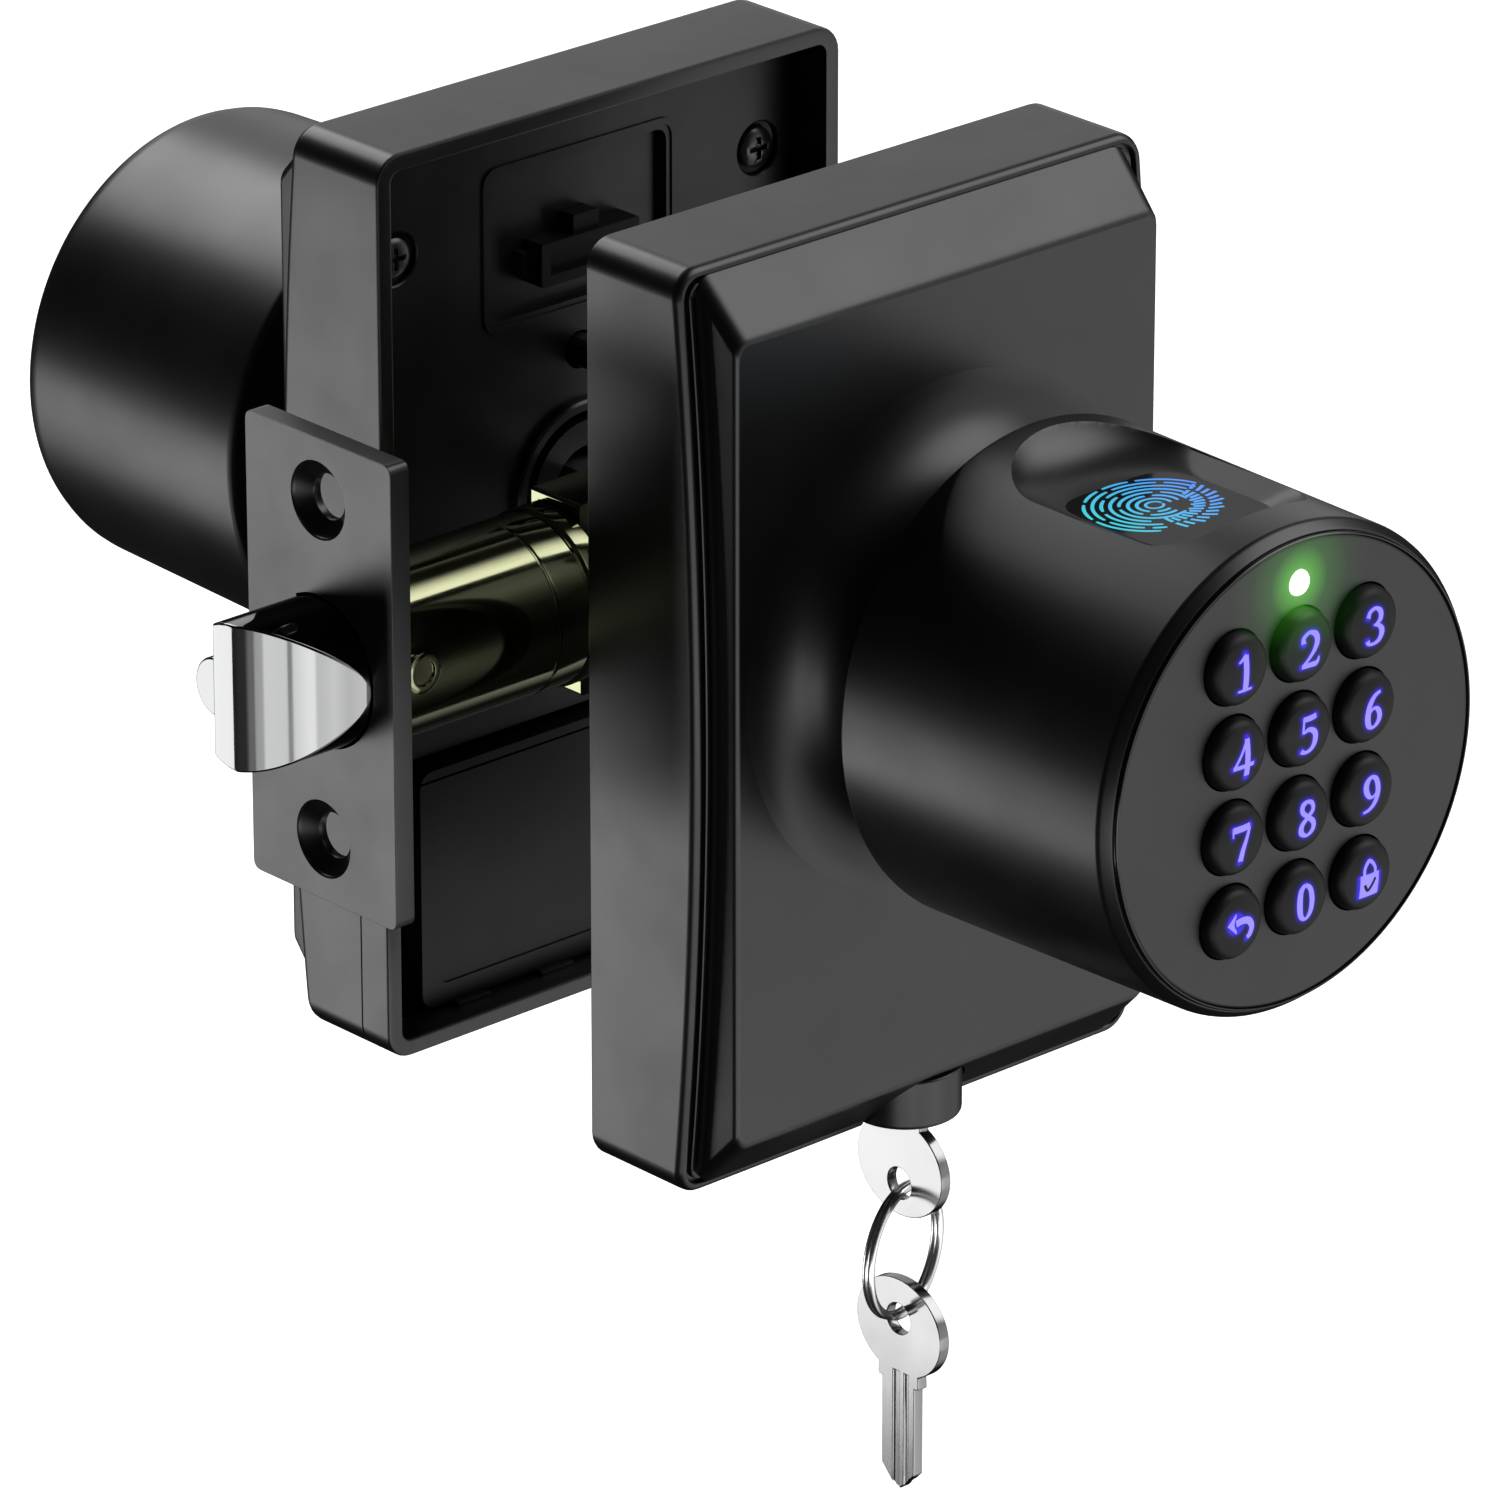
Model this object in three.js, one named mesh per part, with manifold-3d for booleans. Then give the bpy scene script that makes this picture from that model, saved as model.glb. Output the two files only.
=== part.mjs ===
// A keypad smart lock for a door: an exterior half with a keypad knob, a tubular latch, and an interior half.
//
// Frame, millimetres: +X runs from the door's edge into the door, +Y from the exterior side to the interior,
// +Z up. The origin is on the knob axis, in the plane where the exterior rose meets the door. The latch points
// to -X. Both halves are built by the same functions in a frame whose door face is y = 0 and whose outside is
// -Y. The interior half is then turned half a turn about Z and set against the far face of the door.

import * as THREE from "three";
import { mergeVertices } from "three/addons/utils/BufferGeometryUtils.js";
import Module from "manifold-3d";

const wasm = await Module();
wasm.setup();

// ---- Driving dimensions ----

const gap = 0.3; // between pieces that touch or slide on the real lock
const doorThickness = 36;
const backset = 61; // knob axis to the outer face of the latch faceplate

const rose = {
  width: 72.6,
  height: 114,
  centreZ: -6,
  edgeDepth: 15.2,
  bow: 3.1,
  corner: 3.5,
  wall: 2.2,
  front: 2.4,
};
const roseTop = rose.centreZ + rose.height / 2;
const roseBottom = rose.centreZ - rose.height / 2;
const cavityDepth = rose.edgeDepth - rose.front;
const plateOutside = 6; // depth of the mounting plates' door side inside the rose
const plateThickness = 1.5;

const panel = { halfWidth: 33.5, footInset: 1.1, faceInset: 7.4, faceDepth: 21.7, corner: 2.2 };

const knob = { rearRadius: 30, frontRadius: 29.2, rearDepth: 35.4, frontDepth: 77.1, wall: 2.4, chamfer: 0.9 };
const interiorKnobDepth = 76.4; // from the door to the interior knob's face
const stemRadius = 10.5;
const stemHole = 11.6;
const stemNose = { radius: 8.4, length: 5, hole: 9.2 }; // the stem's narrow end, inside the plates' holes
const neck = { footRadius: 27, topRadius: 21, fillet: 7.5 };

const keypad = { radius: 27.6, face: 77.9, thickness: 3.6, rim: 0.4 };
const statusLight = { z: 22.8, radius: 1.5, hole: 1.8, rear: -74.4 };
const button = { radius: 4.25, pitch: 10.2, topZ: 15.5, proud: 2.1, travel: 1.0, hole: 4.6, depth: 4.1 };

const scoop = { halfWidth: 12.4, rear: -37.6, front: -71, floorZ: 25.4, rampLength: 9, endLength: 7, corner: 7 };
const pad = { halfWidth: 9, rear: -47.4, front: -66.8, thickness: 1.5, corner: 5 };

const latch = { y: doorThickness / 2, plateX: -backset, plateThickness: 2.8, plateWidth: 25.4, plateHeight: 57 };
const boltThrow = 12.7;
const bolt = { radius: 9, flat: 3.9, tip: -backset - boltThrow, tipWidth: 3.9, tail: -47.5, plunger: 3.6 };
const rampSlopes = [30, 75].map(THREE.MathUtils.degToRad); // of the bolt's ramp, at its start and its end
const plateScrew = { z: 20.9, sinkRadius: 4.6, holeRadius: 2.75, sinkDepth: 1.9 };
const tube = { radius: 10.5, bore: 9.6, end: -25.5, collarRadius: 11.6, collarLength: 3 };
const latchCase = { front: -25.2, rear: 19, thickness: 8.4, height: 23.8, wall: 1.2 };

const cylinder = {
  y: -14.8,
  radius: 6.8,
  upperRadius: 5.4,
  plugRadius: 4,
  bottom: roseBottom + 0.4,
  top: -38,
};
const keyBow = { halfWidth: 7.3, halfHeight: 6.3, shoulder: 0.9, holeRadius: 2 };
const key = { thickness: 1.5, neckHalfWidth: 3.6, bladeHalfWidth: 2.8, bladeLength: 14 };
const ring = { radius: 8.6, wire: 1.2, width: 2.2, turn: THREE.MathUtils.degToRad(17) };

const spindleSide = 6.4;
const throughBoltZ = 17;
const cableZ = 33;
const coverScrew = { x: 28.6, z: 35.4 }; // of the interior mounting plate
const coverTop = -28.6; // upper edge of the battery cover, in the interior half
const batteryBoxEdges = { x: 27.4, low: -60.2, high: -29.6, door: -4.2, room: -19.4, wall: 1.1 };
const coverJoin = 5; // depth of the seam between the interior base's lower wall and the battery cover

// ---- Materials: satin black shells, rubber, chrome, brass and steel ----

function material(color, roughness, metalness, emissive = 0x000000) {
  return new THREE.MeshStandardMaterial({ color, roughness, metalness, emissive });
}

const satinBlack = () => material(0x1b1b1c, 0.42, 0.6);
const blackPlastic = () => material(0x161617, 0.5, 0.0);
const blackRubber = () => material(0x101011, 0.75, 0.0);
const chrome = () => material(0xd8dadc, 0.08, 1.0);
const polishedSteel = () => material(0xc9ccd0, 0.2, 1.0);
const zincSteel = () => material(0x9a9da0, 0.35, 1.0);
const brass = () => material(0xb9a75a, 0.18, 1.0);
const boardGreen = () => material(0x1d4a30, 0.55, 0.0);
const cellSleeve = () => material(0x2c3033, 0.4, 0.1);

// ---- Solids ----

// A closed geometry as a solid, with its faces turned outwards.
function solidOf(geometry) {
  const bare = geometry.index ? geometry.toNonIndexed() : geometry.clone();
  bare.deleteAttribute("normal");
  bare.deleteAttribute("uv");
  const merged = mergeVertices(bare, 1e-4);
  const positions = merged.attributes.position.array;
  const corners = [];
  for (let i = 0; i < merged.index.count; i += 3) {
    const [a, b, c] = [0, 1, 2].map((k) => merged.index.array[i + k]);
    if (a !== b && b !== c && c !== a) corners.push(a, b, c);
  }
  const build = (triVerts) => {
    return new wasm.Manifold(new wasm.Mesh({ numProp: 3, vertProperties: positions, triVerts }));
  };
  const made = build(new Uint32Array(corners));
  if (made.volume() > 0) return made;
  for (let i = 0; i < corners.length; i += 3) {
    [corners[i + 1], corners[i + 2]] = [corners[i + 2], corners[i + 1]];
  }
  return build(new Uint32Array(corners));
}

// A shape drawn in (x, z), extruded along Y from low to high.
function prismY(shape, low, high, curveSegments = 6) {
  const geometry = new THREE.ExtrudeGeometry(shape, { depth: high - low, bevelEnabled: false, curveSegments });
  return solidOf(geometry.rotateX(Math.PI / 2).translate(0, high, 0));
}

// A shape drawn in (y, z), extruded along X from low to high.
function prismX(shape, low, high, curveSegments = 6) {
  const geometry = new THREE.ExtrudeGeometry(shape, { depth: high - low, bevelEnabled: false, curveSegments });
  const toX = new THREE.Matrix4().makeBasis(
    new THREE.Vector3(0, 1, 0),
    new THREE.Vector3(0, 0, 1),
    new THREE.Vector3(1, 0, 0),
  );
  return solidOf(geometry.applyMatrix4(toX).translate(low, 0, 0));
}

// A shape drawn in (x, y), extruded along Z from low to high.
function prismZ(shape, low, high, curveSegments = 6) {
  const geometry = new THREE.ExtrudeGeometry(shape, { depth: high - low, bevelEnabled: false, curveSegments });
  return solidOf(geometry.translate(0, 0, low));
}

function box([x0, x1], [y0, y1], [z0, z1]) {
  const geometry = new THREE.BoxGeometry(x1 - x0, y1 - y0, z1 - z0);
  return solidOf(geometry.translate((x0 + x1) / 2, (y0 + y1) / 2, (z0 + z1) / 2));
}

// A profile of [radius, height] points turned about an axis that runs along X, Y or Z through a centre.
function turned(profile, axis = "y", centre = [0, 0, 0], segments = 32) {
  const points = profile.map(([radius, height]) => new THREE.Vector2(radius, height));
  if (!points[0].equals(points[points.length - 1]) && points[0].x > 0) points.push(points[0].clone());
  const geometry = new THREE.LatheGeometry(points, segments);
  if (axis === "x") geometry.rotateZ(-Math.PI / 2);
  if (axis === "z") geometry.rotateX(Math.PI / 2);
  return solidOf(geometry.translate(...centre));
}

// A round bar between two heights along an axis.
function rod(radius, low, high, axis = "y", centre = [0, 0, 0], segments = 24) {
  return turned([[0, low], [radius, low], [radius, high], [0, high]], axis, centre, segments);
}

function union(first, ...others) {
  return others.reduce((whole, other) => whole.add(other), first);
}

function cut(first, ...others) {
  return others.reduce((whole, other) => whole.subtract(other), first);
}

// ---- Outlines ----

function polygon(points) {
  return new THREE.Shape(points.map(([x, y]) => new THREE.Vector2(x, y)));
}

// Points from evaluating a function at even steps of t from 0 to 1.
function sampled(steps, pointAt) {
  return Array.from({ length: steps + 1 }, (_, i) => pointAt(i / steps));
}

function roundedRectangle(x0, x1, y0, y1, radius) {
  const shape = new THREE.Shape();
  shape.moveTo(x0 + radius, y0);
  shape.lineTo(x1 - radius, y0);
  shape.absarc(x1 - radius, y0 + radius, radius, -Math.PI / 2, 0);
  shape.lineTo(x1, y1 - radius);
  shape.absarc(x1 - radius, y1 - radius, radius, 0, Math.PI / 2);
  shape.lineTo(x0 + radius, y1);
  shape.absarc(x0 + radius, y1 - radius, radius, Math.PI / 2, Math.PI);
  shape.lineTo(x0, y0 + radius);
  shape.absarc(x0 + radius, y0 + radius, radius, Math.PI, 1.5 * Math.PI);
  return shape;
}

// The rose's outline, moved inwards all round.
function roseOutline(inset = 0) {
  const half = rose.width / 2 - inset;
  const corner = Math.max(rose.corner - inset, 0.8);
  return roundedRectangle(-half, half, roseBottom + inset, roseTop - inset, corner);
}

// Depth of the rose's bowed front at a height, as an arc through its two ends and its middle.
function bowDepth(z) {
  const halfHeight = rose.height / 2;
  const radius = (halfHeight * halfHeight + rose.bow * rose.bow) / (2 * rose.bow);
  const fromCentre = z - rose.centreZ;
  return rose.edgeDepth + rose.bow - radius + Math.sqrt(radius * radius - fromCentre * fromCentre);
}

// A side view in (y, z) with a flat back and a front that follows the bow, at an offset behind or before it.
function bowedSide(backY, offset, low, high, steps = 14) {
  const front = sampled(steps, (t) => {
    const z = low + (high - low) * t;
    return [-bowDepth(z) + offset, z];
  });
  return polygon([[backY, low], ...front, [backY, high]]);
}

// A D: a circle with a flat on its +Y side.
function dShape(centreY, radius, flat, segments = 24) {
  const start = Math.acos(flat / radius);
  return polygon(
    sampled(segments, (t) => {
      const angle = start + (2 * Math.PI - 2 * start) * t;
      return [centreY + radius * Math.cos(angle), radius * Math.sin(angle)];
    }),
  );
}

// ---- The two halves' shared pieces ----

// The rose base: a deep shell that is open towards the door, with a bowed front wall.
function roseBase() {
  const outer = prismY(roseOutline(), -30, 0).intersect(
    prismX(bowedSide(0, 0, roseBottom - 1, roseTop + 1), -50, 50),
  );
  const cavity = prismY(roseOutline(rose.wall), -cavityDepth, 1);
  return cut(outer, cavity, rod(stemHole, -30, 1));
}

// The bevelled panel in front of the base: a flat face, long bevels at its top and bottom, steep sides.
function frontPanel() {
  const footTop = roseTop - panel.footInset;
  const footBottom = roseBottom + panel.footInset;
  const back = sampled(12, (t) => {
    const z = footBottom + (footTop - footBottom) * t;
    return [-bowDepth(z) - gap, z];
  });
  const face = [
    [-panel.faceDepth, roseTop - panel.faceInset],
    [-panel.faceDepth, roseBottom + panel.faceInset],
  ];
  const side = polygon([...back, ...face]);
  const outline = roundedRectangle(-panel.halfWidth, panel.halfWidth, footBottom, footTop, panel.corner);
  const body = prismX(side, -50, 50).intersect(prismY(outline, -30, 0));
  return cut(body, rod(stemHole, -30, 1));
}

// The fixed neck: a collar that flares smoothly onto the panel.
function flaredNeck() {
  const foot = -panel.faceDepth - gap;
  const top = -knob.rearDepth + 0.8;
  const profile = [[stemHole, foot], [neck.footRadius, foot], [neck.footRadius, foot - 0.6]];
  const steps = 4;
  const reach = neck.footRadius - neck.topRadius;
  for (let i = 1; i <= steps; i++) {
    const angle = ((Math.PI / 2) * i) / steps;
    profile.push([neck.footRadius - reach * Math.sin(angle), foot - 0.6 - neck.fillet * (1 - Math.cos(angle))]);
  }
  profile.push([neck.topRadius, top], [stemHole, top]);
  return turned(profile, "y", [0, 0, 0], 32);
}

// The knob's outer form: a slight taper with a chamfered front edge.
function knobBody(frontDepth, chamfer) {
  return turned(
    [
      [0, -knob.rearDepth],
      [knob.rearRadius - 0.7, -knob.rearDepth],
      [knob.rearRadius, -knob.rearDepth - 0.7],
      [knob.frontRadius, -frontDepth + chamfer],
      [knob.frontRadius - chamfer, -frontDepth],
      [0, -frontDepth],
    ],
    "y",
    [0, 0, 0],
    40,
  );
}

// The knob's stem: a tube through the neck with a flange inside the knob. Depths are measured outwards.
function knobStem(bore, innerDepth) {
  const flange = knob.rearDepth + knob.wall + gap;
  return turned([
    [bore, -innerDepth],
    [stemNose.radius, -innerDepth],
    [stemNose.radius, -innerDepth - stemNose.length],
    [stemRadius, -innerDepth - stemNose.length],
    [stemRadius, -flange],
    [stemRadius + 5, -flange],
    [stemRadius + 5, -flange - 2.4],
    [bore, -flange - 2.4],
  ]);
}

// ---- The exterior half ----

// The room that the base and the panel leave for the key cylinder's housing.
function cylinderRoom() {
  const centre = [0, cylinder.y, 0];
  return [
    rod(cylinder.radius + gap, roseBottom - 2, -56, "z", centre),
    rod(cylinder.upperRadius + gap, -57, cylinder.top + gap, "z", centre),
  ];
}

function exteriorBase() {
  return cut(roseBase(), ...cylinderRoom());
}

function exteriorPanel() {
  return cut(frontPanel(), ...cylinderRoom());
}

function exteriorGasket() {
  const outer = prismY(roseOutline(rose.wall + gap), -plateOutside + 1.7, -0.1);
  return cut(outer, prismY(roseOutline(rose.wall + 2.4), -20, 1));
}

const exteriorPlateDoorSide = -plateOutside + 1.4;

function exteriorMountingPlate() {
  const room = exteriorPlateDoorSide - plateThickness;
  const outer = prismY(roseOutline(rose.wall + gap), room, exteriorPlateDoorSide);
  const posts = [1, -1].map((side) => rod(2.3, -20, 5, "y", [0, 0, side * throughBoltZ], 16));
  return cut(outer, rod(stemNose.hole, -20, 5), rod(4.1, -20, 5, "y", [0, 0, cableZ], 16), ...posts);
}

// A threaded sleeve that stands on the mounting plate and takes a through bolt.
function threadedPost(side) {
  const foot = exteriorPlateDoorSide + gap;
  return turned(
    [[2.3, foot], [5, foot], [5, foot + 1], [3.8, foot + 1], [3.8, 10], [2.3, 10]],
    "y",
    [0, 0, side * throughBoltZ],
    14,
  );
}

function cableGrommet() {
  const back = exteriorPlateDoorSide;
  const front = back - plateThickness;
  return turned(
    [
      [2.4, front - 1.2],
      [3.8, front - 1.2],
      [3.8, back + gap],
      [5.2, back + gap],
      [5.2, back + 1.3],
      [2.4, back + 1.3],
    ],
    "y",
    [0, 0, cableZ],
    14,
  );
}

function keyCylinderHousing() {
  const centre = [0, cylinder.y, 0];
  const profile = [
    [cylinder.plugRadius + gap, cylinder.bottom],
    [cylinder.radius, cylinder.bottom],
    [cylinder.radius, -56.4],
    [cylinder.upperRadius, -56.4],
    [cylinder.upperRadius, cylinder.top],
    [cylinder.plugRadius + gap, cylinder.top],
  ];
  return turned(profile, "z", centre, 24);
}

function keyPlug() {
  const body = rod(cylinder.plugRadius, cylinder.bottom + 0.2, cylinder.top - 1, "z", [0, cylinder.y, 0]);
  const slotHalf = key.bladeHalfWidth + gap;
  const slot = box([-1.1, 1.1], [cylinder.y - slotHalf, cylinder.y + slotHalf], [-70, -44]);
  return cut(body, slot);
}

const knobBore = knob.rearRadius - knob.wall - 1;

function exteriorKnobShell() {
  const bore = rod(knobBore, -90, -knob.rearDepth - knob.wall, "y", [0, 0, 0], 32).intersect(
    box([-40, 40], [-100, 0], [-40, scoop.floorZ - 3.9]),
  );
  const mouth = rod(keypad.radius + gap, -90, -keypad.face + keypad.thickness + gap, "y", [0, 0, 0], 40);
  const rampEnd = scoop.rear - scoop.rampLength;
  const rise = knob.rearRadius - scoop.floorZ;
  const ramp = sampled(5, (t) => {
    const angle = (Math.PI / 2) * t;
    return [rampEnd + scoop.rampLength * Math.sin(angle), scoop.floorZ + rise * (1 - Math.cos(angle))];
  });
  const side = polygon([[scoop.front, scoop.floorZ], ...ramp, [scoop.rear, 40], [scoop.front, 40]]);
  const roundEnd = sampled(12, (t) => {
    const angle = Math.PI * t;
    return [scoop.halfWidth * Math.cos(angle), scoop.rear - scoop.endLength * (1 - Math.sin(angle))];
  });
  const frontCorner = (side) => (t) => {
    const angle = (Math.PI / 2) * (side > 0 ? t : 1 - t);
    const across = scoop.halfWidth - scoop.corner * (1 - Math.sin(angle));
    return [side * across, scoop.front + scoop.corner * (1 - Math.cos(angle))];
  };
  const plan = polygon([...sampled(4, frontCorner(-1)), ...sampled(4, frontCorner(1)), ...roundEnd]);
  const scooped = prismX(side, -30, 30).intersect(prismZ(plan, 10, 50));
  const pocket = prismZ(
    roundedRectangle(
      -pad.halfWidth - gap,
      pad.halfWidth + gap,
      pad.front - gap,
      pad.rear + gap,
      pad.corner + gap,
    ),
    scoop.floorZ - pad.thickness - gap,
    scoop.floorZ + 1,
  );
  return cut(
    knobBody(knob.frontDepth, knob.chamfer),
    bore,
    mouth,
    rod(stemHole - 0.8, -60, 0),
    scooped,
    pocket,
  );
}

function fingerprintPad() {
  const outline = roundedRectangle(-pad.halfWidth, pad.halfWidth, pad.front, pad.rear, pad.corner);
  return prismZ(outline, scoop.floorZ - pad.thickness, scoop.floorZ + 0.1);
}

// Button centres in (x, z), row by row from the top left.
function buttonPlaces() {
  const places = [];
  for (let row = 0; row < 4; row++) {
    for (let column = -1; column <= 1; column++) {
      places.push([column * button.pitch, button.topZ - row * button.pitch]);
    }
  }
  return places;
}

function keypadPlate() {
  const { radius, rim } = keypad;
  const front = -keypad.face;
  const back = front + keypad.thickness;
  const disc = turned(
    [[0, back], [radius, back], [radius, front + rim], [radius - rim, front], [0, front]],
    "y",
    [0, 0, 0],
    40,
  );
  const holes = buttonPlaces().map(([x, z]) => rod(button.hole, -90, -60, "y", [x, 0, z], 14));
  return cut(disc, ...holes, rod(statusLight.hole, -90, -60, "y", [0, 0, statusLight.z], 10));
}

// A domed rubber button that stands through the keypad plate.
function keypadButton([x, z]) {
  const front = -keypad.face - button.proud;
  const side = -keypad.face + button.depth;
  const { radius } = button;
  return turned(
    [[0, side], [radius, side], [radius, front + 1.2], [radius * 0.86, front + 0.35], [0, front]],
    "y",
    [x, 0, z],
    14,
  );
}

function statusLed() {
  const { radius, rear, z } = statusLight;
  const front = -keypad.face;
  return turned(
    [[0, rear], [radius, rear], [radius, front - 0.1], [radius * 0.6, front - 0.5], [0, front - 0.6]],
    "y",
    [0, 0, z],
    10,
  );
}

function knobBoard() {
  const outline = new THREE.Shape();
  const top = 20.6;
  const radius = 25.4;
  const start = Math.asin(top / radius);
  outline.absarc(0, 0, radius, Math.PI - start, 2 * Math.PI + start, false);
  const boardFront = -keypad.face + button.depth + button.travel + gap;
  return prismY(outline, boardFront, boardFront + 1.6, 28);
}

function clutchMotor() {
  const rear = -43;
  return turned(
    [[0, rear], [1.2, rear], [1.2, rear - 4], [6, rear - 4], [6, rear - 20], [0, rear - 20]],
    "y",
    [0, 0, -13.5],
    18,
  );
}

// ---- The latch ----

function latchFaceplate() {
  const { y, plateX, plateThickness: thick, plateWidth, plateHeight } = latch;
  const half = plateWidth / 2;
  const outline = roundedRectangle(y - half, y + half, -plateHeight / 2, plateHeight / 2, 1.2);
  const plate = prismX(outline, plateX, plateX + thick);
  const { sinkRadius, holeRadius, sinkDepth } = plateScrew;
  const through = plateX + thick + 1;
  const holes = [1, -1].map((side) =>
    turned(
      [
        [0, plateX - 1],
        [sinkRadius, plateX - 1],
        [sinkRadius, plateX + 0.1],
        [holeRadius, plateX + sinkDepth],
        [holeRadius, through],
        [0, through],
      ],
      "x",
      [0, y, side * plateScrew.z],
      18,
    ),
  );
  const opening = prismX(dShape(y, bolt.radius + gap, bolt.flat + gap), plateX - 2, plateX + 6);
  const plungerOpening = rod(bolt.plunger + gap, plateX - 2, plateX + 6, "x", [0, y + bolt.flat + gap, 0], 20);
  return cut(plate, ...holes, opening, plungerOpening);
}

function latchTube() {
  const start = latch.plateX + latch.plateThickness + gap;
  const { radius, bore, end, collarRadius, collarLength } = tube;
  const flange = end - 5;
  return turned(
    [
      [bore, start],
      [radius, start],
      [radius, end - collarLength],
      [collarRadius, end - collarLength],
      [collarRadius, end],
      [3, end],
      [3, flange],
      [bore, flange],
    ],
    "x",
    [0, latch.y, 0],
    28,
  );
}

// The bolt: a D-section bar with a curved ramp towards the exterior, and a tail that ends in a yoke.
function latchBolt() {
  const { tip } = bolt;
  const bar = prismX(dShape(latch.y, bolt.radius, bolt.flat), tip, bolt.tail);
  const nearY = latch.y - bolt.radius;
  const edgeY = latch.y + bolt.flat - bolt.tipWidth;
  const rampLength = boltThrow - 0.2;
  const [start, end] = rampSlopes;
  const ramp = sampled(9, (t) => {
    const slope = start + (end - start) * t;
    const along = (Math.cos(start) - Math.cos(slope)) / (Math.cos(start) - Math.cos(end));
    const across = (Math.sin(slope) - Math.sin(start)) / (Math.sin(end) - Math.sin(start));
    return [tip + rampLength * along, edgeY - (edgeY - nearY) * across];
  });
  const away = polygon([[tip - 2, edgeY], ...ramp, [tip + rampLength, nearY - 2], [tip - 2, nearY - 2]]);
  const tailRod = box([bolt.tail - 1, -23], [latch.y - 1.5, latch.y + 1.5], [-2, 2]);
  const bridge = box([-24.9, -21.4], [latch.y - 2.2, latch.y + 2.2], [-10.2, 10.2]);
  const straps = [1, -1].map((side) =>
    box([-22, 4], [latch.y - 2.2, latch.y + 2.2], side > 0 ? [8.8, 10.2] : [-10.2, -8.8]),
  );
  return union(cut(bar, prismZ(away, -12, 12)), tailRod, bridge, ...straps);
}

function deadlatchPlunger() {
  const flat = latch.y + bolt.flat + gap;
  const outline = new THREE.Shape();
  outline.absarc(flat, 0, bolt.plunger, -Math.PI / 2, Math.PI / 2, false);
  return prismX(outline, bolt.tip + 0.6, -50, 8);
}

// A round wire wound into a compression spring along X.
function spring(radius, wire, start, end, y, turns, steps) {
  class Helix extends THREE.Curve {
    getPoint(t, target = new THREE.Vector3()) {
      const angle = 2 * Math.PI * turns * t;
      return target.set(start + (end - start) * t, y + radius * Math.cos(angle), radius * Math.sin(angle));
    }
  }
  const sides = 5;
  const corners = sampled(sides - 1, (t) => {
    const angle = (2 * Math.PI * t * (sides - 1)) / sides;
    return [(wire / 2) * Math.cos(angle), (wire / 2) * Math.sin(angle)];
  });
  const section = polygon(corners);
  const path = new Helix();
  const options = { steps: turns * steps, extrudePath: path, bevelEnabled: false };
  return solidOf(new THREE.ExtrudeGeometry(section, options));
}

function latchCaseBody() {
  const { front, rear, thickness, height, wall } = latchCase;
  const outer = box([front, rear], [latch.y - thickness / 2, latch.y + thickness / 2], [-height / 2, height / 2]);
  const innerHalf = thickness / 2 - wall;
  const innerTop = height / 2 - wall;
  const inner = box([front - 1, rear - wall], [latch.y - innerHalf, latch.y + innerHalf], [-innerTop, innerTop]);
  return cut(outer, inner, rod(7, latch.y - 6, latch.y + 6));
}

// The spindle hub with two cam arms, and the square hole that the spindle turns it by.
function latchHub() {
  const arms = box([-1.6, 1.6], [latch.y - 2.4, latch.y + 2.4], [-7.6, 7.6]);
  const collar = rod(6.2, latch.y - 4.6, latch.y + 4.6, "y", [0, 0, 0], 20);
  const hole = spindleSide / 2 + gap;
  return cut(union(collar, arms), box([-hole, hole], [0, 40], [-hole, hole]));
}

function spindle() {
  const half = spindleSide / 2;
  return box([-half, half], [-14, doorThickness + 41], [-half, half]);
}

// ---- The interior half, in its own frame: the door face at y = 0 and the room at -Y ----

function interiorBase() {
  const below = box([-50, 50], [-40, -coverJoin + 0.2], [-80, coverTop + 0.3]);
  return cut(roseBase(), below);
}

function interiorPanel() {
  return cut(frontPanel(), box([-50, 50], [-40, 0], [-80, coverTop + 0.3]));
}

// The battery cover: the lower end of the rose and its panel in one shell, open at the top and towards the door.
function batteryCover() {
  const wall = rose.wall;
  const outer = prismY(roseOutline(), -30, -coverJoin).intersect(
    prismX(bowedSide(0, 0, roseBottom - 1, roseTop + 1), -50, 50),
  );
  const footTop = roseTop - panel.footInset;
  const footBottom = roseBottom + panel.footInset;
  const side = polygon([
    [-coverJoin, footBottom],
    [-coverJoin, footTop],
    [-bowDepth(footTop), footTop],
    [-panel.faceDepth, roseTop - panel.faceInset],
    [-panel.faceDepth, roseBottom + panel.faceInset],
    [-bowDepth(footBottom), footBottom],
  ]);
  const outline = roundedRectangle(-panel.halfWidth, panel.halfWidth, footBottom, footTop, panel.corner);
  const raised = prismX(side, -50, 50).intersect(prismY(outline, -30, 0));
  const whole = union(outer, raised).intersect(box([-50, 50], [-40, 0], [-80, coverTop]));
  const half = panel.halfWidth - 1.8;
  const hollow = polygon([
    [5, roseBottom + wall],
    [-rose.edgeDepth + 1.3, roseBottom + wall],
    [-panel.faceDepth + 1.7, roseBottom + panel.faceInset + 0.9],
    [-panel.faceDepth + 1.7, 10],
    [5, 10],
  ]);
  return cut(whole, prismX(hollow, -half, half));
}

// The moulded plate that shows inside the tray, with a pocket for the connector.
const pocketEdges = { x: 13.8, low: 23.6, high: 41.6, depth: 3.6 };

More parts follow.
